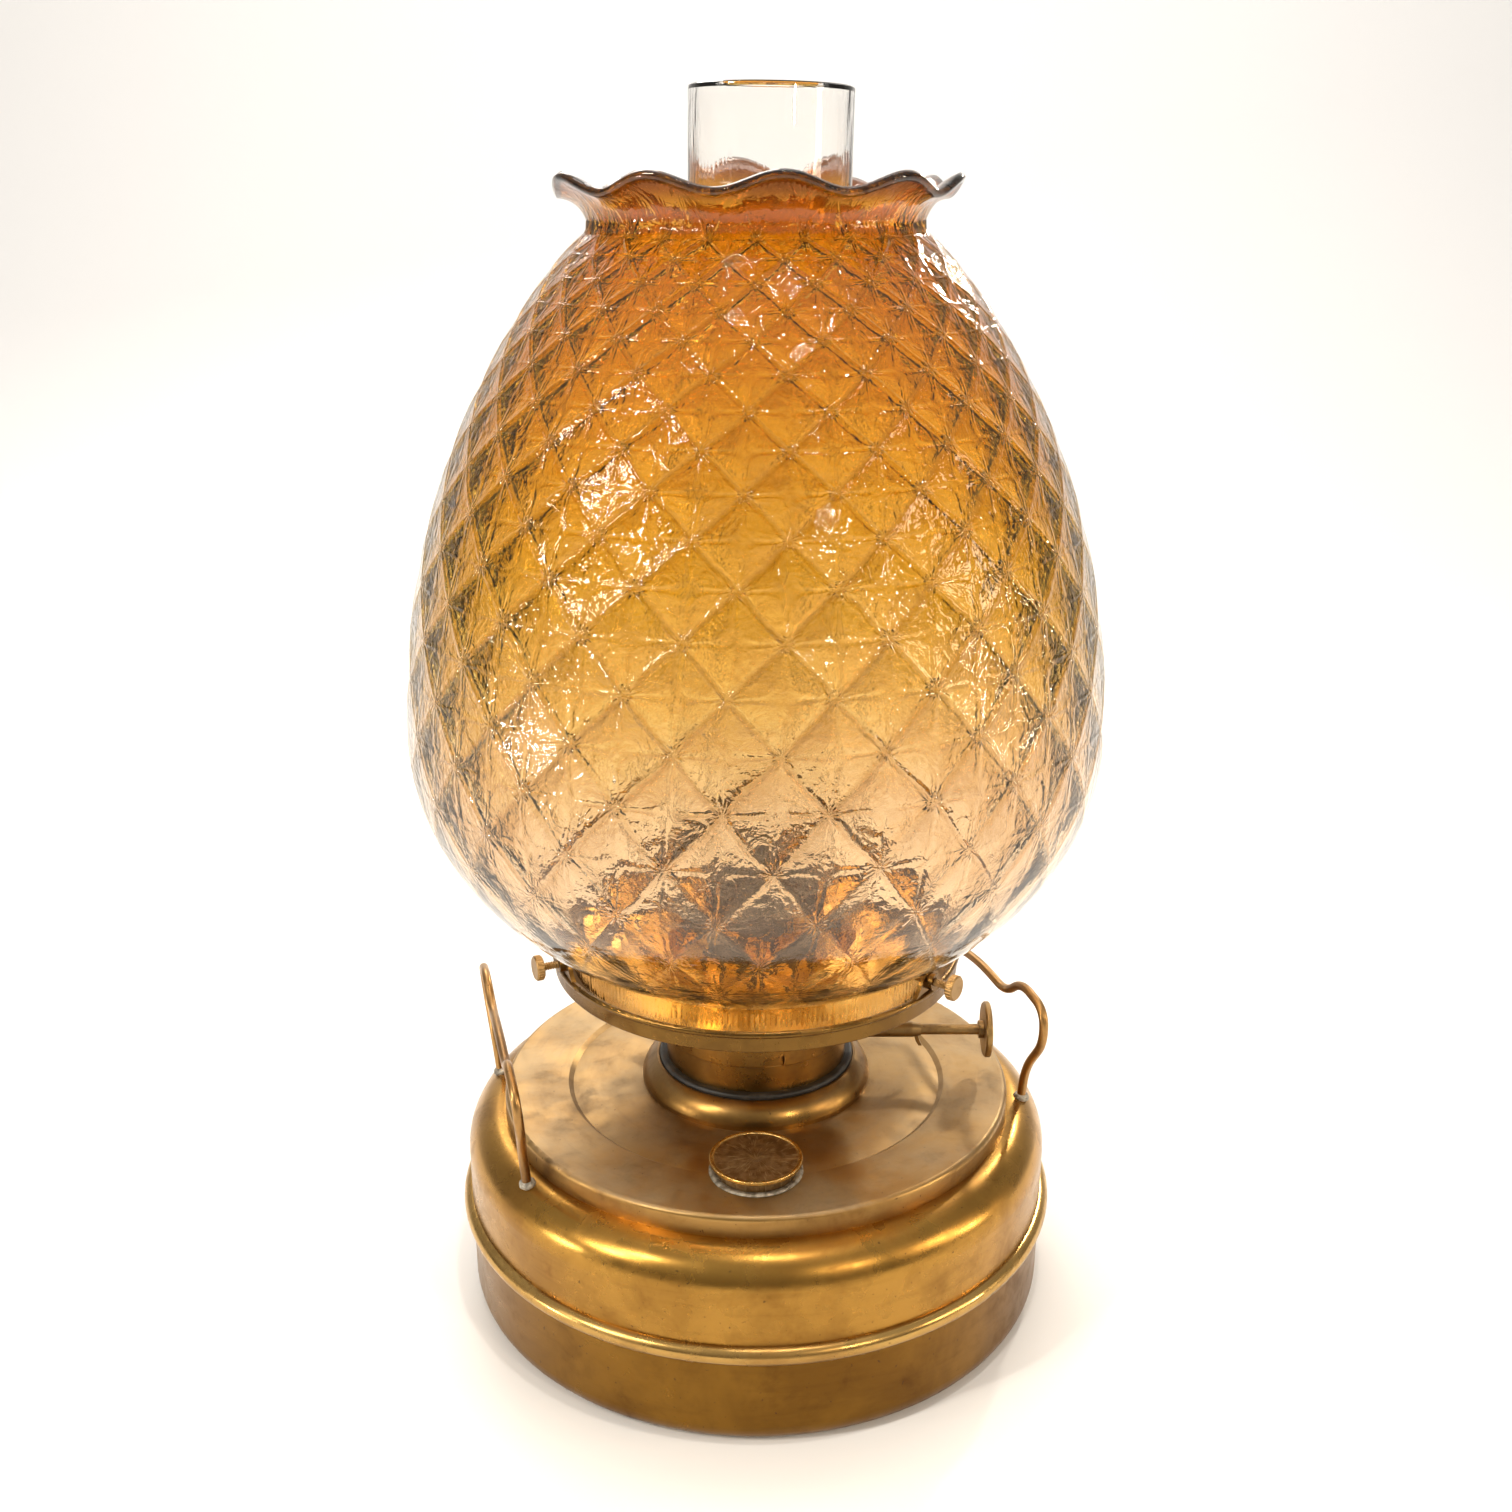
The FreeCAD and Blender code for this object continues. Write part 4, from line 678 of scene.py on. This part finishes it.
def makeShade():
    form = shadeForm
    around = form["diamonds"] * form["perDiamond"]
    sections = shadeSections()
    mesh = bmesh.new()
    quilt = mesh.loops.layers.uv.new("quilt")
    places = {}

    def addRing(section, inside):
        ring = []
        for index in range(around):
            point, spot = shadePoint(section, index, inside)
            corner = mesh.verts.new(point)
            places[corner] = spot
            ring.append(corner)
        return ring

    def addFace(corners):
        face = mesh.faces.new(corners)
        face.smooth = True
        spots = [places[corner] for corner in corners]
        first = spots[0][0]
        for loop, (across, along) in zip(face.loops, spots):
            across -= round(across - first)  # keeps the face that closes the ring in one piece
            loop[quilt].uv = (across, along)

    walls = []
    for inside in (False, True):
        rings = [addRing(section, inside) for section in sections]
        walls.append(rings)
        for low in range(len(rings) - 2):
            odd = sections[low][3] % 2
            for index in range(around):
                right = (index + 1) % around if odd else index
                left = index if odd else (index - 1) % around
                corners = [rings[low][index], rings[low + 1][right],
                           rings[low + 2][index], rings[low + 1][left]]
                addFace(corners[::-1] if inside else corners)
        for end, beside in ((0, 1), (-1, -2)):
            odd = sections[end][3] % 2
            for index in range(around):
                following = (index + 1) % around
                tip = rings[beside][following if odd else index]
                corners = [rings[end][index], rings[end][following], tip]
                addFace(corners if (end == 0) != inside else corners[::-1])
    # the lip's flat end, and a rounded bead round the ruffled rim
    outer, inner = walls
    bulge = []
    for index in range(around):
        middle = (outer[-1][index].co + inner[-1][index].co) / 2
        outward = Vector((middle.x, middle.y, 0)).normalized()
        corner = mesh.verts.new(middle + outward * form["edgeBulge"] + Vector((0, 0, mm(0.2))))
        places[corner] = places[outer[-1][index]]
        bulge.append(corner)
    for low, high in ((inner[0], outer[0]), (outer[-1], bulge), (bulge, inner[-1])):
        for index in range(around):
            following = (index + 1) % around
            addFace([low[index], low[following], high[following], high[index]])
    data = bpy.data.meshes.new("quiltedShade")
    mesh.to_mesh(data)
    mesh.free()
    shade = bpy.data.objects.new("quiltedShade", data)
    bpy.context.collection.objects.link(shade)
    return shade


shade = makeShade()
finishPiece(shade, amberGlass, "shade_body", ["shade"], smoothAngle=0)
shade.visible_shadow = False  # lets the lamps light the burner through the glass
print("stage: shade", len(shade.data.polygons))


def drawUp(name, sides, centre, profile):
    # a ring drawn through each radius and height in turn
    radius, height = profile[0]
    bpy.ops.object.select_all(action="DESELECT")
    bpy.ops.mesh.primitive_circle_add(vertices=sides, radius=radius, location=(*centre, height))
    piece = bpy.context.object
    piece.name = name
    bpy.ops.object.mode_set(mode="EDIT")
    bpy.ops.mesh.select_mode(type="EDGE")
    bpy.ops.mesh.select_all(action="SELECT")
    for (before, lower), (after, upper) in zip(profile, profile[1:]):
        bpy.ops.mesh.extrude_region_move(TRANSFORM_OT_translate={"value": (0, 0, upper - lower)})
        bpy.ops.transform.resize(value=(after / before, after / before, 1),
                                 center_override=(centre[0], centre[1], upper))
    bpy.ops.object.mode_set(mode="OBJECT")
    return piece


def cleanPiece(merge=mm(0.002)):
    bpy.ops.object.mode_set(mode="EDIT")
    bpy.ops.mesh.select_all(action="SELECT")
    bpy.ops.mesh.remove_doubles(threshold=merge)
    bpy.ops.mesh.normals_make_consistent(inside=False)
    bpy.ops.object.mode_set(mode="OBJECT")


# clear chimney: a wide base, a shoulder and a tube, standing a little off true
chimneyForm = {
    "base": mm(31.0), "tube": mm(23.3), "wall": mm(1.7), "shoulder": mm(160),
    "shoulderRise": mm(18), "lean": 0.95, "sides": 128,
    "mouth": [(0, mm(0.9)), (mm(0.12), mm(0.35)), (mm(0.7), 0)],  # inset and drop
}


def makeChimney():
    form = chimneyForm
    low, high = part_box("chimney")
    seat, top = low[2], high[2]
    profile = [(form["base"], seat), (form["base"], form["shoulder"])]
    for step in range(1, 13):
        narrowed = form["base"] + (form["tube"] - form["base"]) * smoothStep(0, 1, step / 12)
        profile.append((narrowed, form["shoulder"] + form["shoulderRise"] * step / 12))
    for inset, drop in form["mouth"]:
        profile.append((form["tube"] - inset, top - drop))
    glass = drawUp("clearChimney", form["sides"], (0, 0), profile)
    cleanPiece()
    thickness = glass.modifiers.new("wall", "SOLIDIFY")
    thickness.thickness = form["wall"]
    thickness.offset = -1
    bpy.ops.object.modifier_apply(modifier="wall")
    bpy.ops.object.mode_set(mode="EDIT")
    bpy.ops.mesh.select_all(action="SELECT")
    bpy.ops.transform.rotate(value=-math.radians(form["lean"]), orient_axis="Y",
                             center_override=(0, 0, seat + mm(7)))
    bpy.ops.object.mode_set(mode="OBJECT")
    return glass


chimney = makeChimney()
finishPiece(chimney, chimneyGlass, "chimney_body", ["chimney"])
chimney.visible_shadow = False
print("stage: chimney")


# filler cap: a thin raised rim, a dished face with a dimple, and a plain skirt
capForm = {
    "sides": 96,
    # radius and height above the plate
    "profile": [(mm(11.15), mm(0.4)), (mm(12.2), mm(0.4)), (mm(12.2), mm(2.7)), (mm(12.5), mm(3.1)),
                (mm(13.9), mm(3.6)), (mm(14.3), mm(4.1)), (mm(14.3), mm(4.8)), (mm(14.1), mm(5.05)),
                (mm(13.7), mm(5.1)), (mm(13.35), mm(4.95)), (mm(13.1), mm(4.65)),
                (mm(11.5), mm(4.6)), (mm(7.0), mm(4.68)), (mm(3.2), mm(4.72)), (mm(2.2), mm(4.6)),
                (mm(1.2), mm(4.15)), (mm(0.3), mm(4.0)), (mm(0.01), mm(3.98))],
    "under": [(mm(11.15), mm(0.4)), (mm(11.15), mm(3.2)), (mm(0.01), mm(3.2))],
}


def capMaterial(centre):
    material = bpy.data.materials.new("scratchedCap")
    material.use_nodes = True
    tree = material.node_tree
    metal = tree.nodes["Principled BSDF"]
    shift = put(tree, "ShaderNodeMapping")
    feed(tree, shift, Vector=put(tree, "ShaderNodeTexCoord").outputs["Object"])
    shift.inputs["Location"].default_value = (-centre[0], -centre[1], 0)
    angle, radius, height = lathePlace(tree, shift.outputs[0])
    rays = put(tree, "ShaderNodeCombineXYZ")
    feed(tree, rays, X=calc(tree, "MULTIPLY", angle, 2.6),
         Y=calc(tree, "MULTIPLY", radius, 45.0), Z=height)
    scratches = spread(tree, noiseAt(tree, rays.outputs[0], 5.5, 2.0, 0.6), 0.56, 0.66)
    fine = spread(tree, noiseAt(tree, rays.outputs[0], 24.0, 2.0, 0.6), 0.55, 0.75)
    blotches = spread(tree, noiseAt(tree, shift.outputs[0], 320.0, 5.0, 0.65, 0.5), 0.38, 0.66)
    face = spread(tree, radius, mm(12.6), mm(13.2), 1.0, 0.0)
    dull = mixColour(tree, blotches, rgb(0.20, 0.12, 0.05), rgb(0.36, 0.24, 0.12))
    dull = mixColour(tree, calc(tree, "MULTIPLY", scratches, 0.55), dull, rgb(0.62, 0.46, 0.26))
    dull = mixColour(tree, calc(tree, "MULTIPLY", fine, 0.4), dull, rgb(0.10, 0.055, 0.02))
    bright = mixColour(tree, blotches, rgb(0.46, 0.27, 0.07), rgb(0.72, 0.48, 0.18))
    colour = mixColour(tree, face, bright, dull)
    relief = calc(tree, "SUBTRACT", calc(tree, "ADD", scratches, blotches), fine)
    bump = feed(tree, put(tree, "ShaderNodeBump"), Strength=0.35, Distance=0.0002, Height=relief)
    feed(tree, metal, Base_Color=colour, Roughness=spread(tree, face, 0.0, 1.0, 0.26, 0.46),
         Normal=bump.outputs["Normal"], Metallic=1.0)
    return material


def makeFillerCap():
    low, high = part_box("filler_cap")
    centre = ((low[0] + high[0]) / 2, (low[1] + high[1]) / 2)
    plate = high[2] - mm(5.1)
    profile = [(radius, plate + height) for radius, height in capForm["under"][::-1]]
    profile += [(radius, plate + height) for radius, height in capForm["profile"][1:]]
    cap = drawUp("fillerCap", capForm["sides"], centre, profile)
    cleanPiece(mm(0.03))
    return cap, centre


fillerCap, capCentre = makeFillerCap()
finishPiece(fillerCap, capMaterial(capCentre), "filler_cap_body", ["filler_cap"])


# solder: an uneven ring round the filler and a blob at each wire end
solderForm = {
    "sides": 96, "unevenness": mm(0.16), "flatTo": mm(12.4),
    "ring": [(mm(10.85), mm(0.02)), (mm(10.85), mm(0.28)), (mm(12.2), mm(0.3)), (mm(12.6), mm(0.6)),
             (mm(13.2), mm(0.85)), (mm(13.9), mm(0.65)), (mm(14.5), mm(0.3)), (mm(14.9), mm(0.02))],
    "blobRadius": mm(2.5), "blobSquash": 0.72,
}


def makeSolderRing():
    low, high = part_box("filler_solder")
    centre = ((low[0] + high[0]) / 2, (low[1] + high[1]) / 2)
    profile = [(radius, low[2] + height) for radius, height in solderForm["ring"]]
    ring = drawUp("fillerSolderRing", solderForm["sides"], centre, profile + profile[:1])
    cleanPiece()
    bpy.ops.object.mode_set(mode="EDIT")
    mesh = bmesh.from_edit_mesh(ring.data)
    for corner in mesh.verts:
        reach = math.hypot(corner.co.x, corner.co.y)
        corner.select_set(reach > solderForm["flatTo"])
    bpy.ops.transform.vertex_random(offset=solderForm["unevenness"], uniform=0.2, seed=4)
    bpy.ops.mesh.vertices_smooth(factor=0.5, repeat=1)
    bpy.ops.object.mode_set(mode="OBJECT")
    return ring


def solderSpots():
    # the middle of each blob of the CAD node
    spots = []
    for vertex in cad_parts["handle_solder"].data.vertices:
        near = [spot for spot in spots if (spot[0] - vertex.co).length < mm(9)]
        if near:
            near[0].append(vertex.co.copy())
        else:
            spots.append([vertex.co.copy()])
    return [sum(spot, Vector()) / len(spot) for spot in spots]


def makeSolderBlobs():
    blobs = []
    for number, spot in enumerate(solderSpots()):
        bpy.ops.object.select_all(action="DESELECT")
        bpy.ops.mesh.primitive_ico_sphere_add(subdivisions=4, radius=solderForm["blobRadius"],
                                              location=spot)
        blob = bpy.context.object
        bpy.ops.object.mode_set(mode="EDIT")
        bpy.ops.transform.resize(value=(1.1, 1.1, solderForm["blobSquash"]), center_override=spot)
        bpy.ops.transform.vertex_random(offset=mm(0.35), uniform=0.3, seed=number + 1)
        bpy.ops.mesh.vertices_smooth(factor=0.5, repeat=3)
        bpy.ops.object.mode_set(mode="OBJECT")
        blobs.append(blob)
    bpy.ops.object.select_all(action="DESELECT")
    for blob in blobs:
        blob.select_set(True)
    bpy.context.view_layer.objects.active = blobs[0]
    bpy.ops.object.join()
    blobs[0].name = "handleSolderBlobs"
    return blobs[0]


finishPiece(makeSolderRing(), dullSolder, "tank", ["filler_solder"], smoothAngle=60)
finishPiece(makeSolderBlobs(), dullSolder, "tank", ["handle_solder"], smoothAngle=60)
print("stage: cap and solder")


# threaded rods of the shade screws
rodForm = {"root": mm(1.02), "crest": mm(1.3), "pitch": mm(0.8), "steps": 20}


def makeRod(number):
    form = rodForm
    low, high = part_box(f"shade_screw_rod_{number}")
    middle = (Vector(low) + Vector(high)) / 2
    angle = math.atan2(middle.y, middle.x)
    direction = Vector((math.cos(angle), math.sin(angle)))
    length = abs(high[0] - low[0]) * abs(direction.x) + abs(high[1] - low[1]) * abs(direction.y)
    spare = 2 * form["crest"] * 2 * abs(direction.x * direction.y)
    length -= spare
    start = direction.dot(Vector((middle.x, middle.y))) - length / 2
    turns = int(length / form["pitch"]) + 3
    bpy.ops.object.select_all(action="DESELECT")
    bpy.ops.mesh.primitive_plane_add(size=form["pitch"])
    rod = bpy.context.object
    rod.name = f"threadedRod{number}"
    bpy.ops.object.mode_set(mode="EDIT")
    mesh = bmesh.from_edit_mesh(rod.data)
    bmesh.ops.delete(mesh, geom=list(mesh.faces), context="FACES_ONLY")
    mesh.verts.ensure_lookup_table()
    root, crest, pitch = form["root"], form["crest"], form["pitch"]
    below = pitch * 0.6  # spare thread that is cut off again
    points = [(root, -1.0), (crest * 0.99, -0.62), (crest, -0.5), (root, 0.0)]
    for corner, (radius, share) in zip(list(mesh.verts), points):
        corner.co = (radius, 0, share * pitch)
    for edge in list(mesh.edges):
        mesh.edges.remove(edge)
    mesh.verts.ensure_lookup_table()
    for first, second in zip(list(mesh.verts), list(mesh.verts)[1:]):
        mesh.edges.new((first, second))
    bmesh.update_edit_mesh(rod.data)
    bpy.ops.object.mode_set(mode="OBJECT")
    thread = rod.modifiers.new("thread", "SCREW")
    thread.screw_offset = pitch
    thread.iterations = turns
    thread.steps = thread.render_steps = form["steps"]
    thread.use_merge_vertices = True
    bpy.ops.object.modifier_apply(modifier="thread")
    bpy.ops.object.mode_set(mode="EDIT")
    for height, side in ((below, -1), (below + length, 1)):
        bpy.ops.mesh.select_all(action="SELECT")
        bpy.ops.mesh.bisect(plane_co=(0, 0, height), plane_no=(0, 0, side),
                            use_fill=True, clear_outer=True)
    bpy.ops.mesh.select_all(action="SELECT")
    bpy.ops.transform.translate(value=(0, 0, start - below))
    bpy.ops.object.mode_set(mode="OBJECT")
    cleanPiece()
    rod.rotation_euler = (0, math.pi / 2, angle)
    rod.location = (0, 0, middle.z)
    return rod


for number in (1, 2, 3):
    node = f"shade_screw_rod_{number}"
    finishPiece(makeRod(number), brasses["screwBrass"], f"{node}_body", [node])
print("stage: threaded rods")
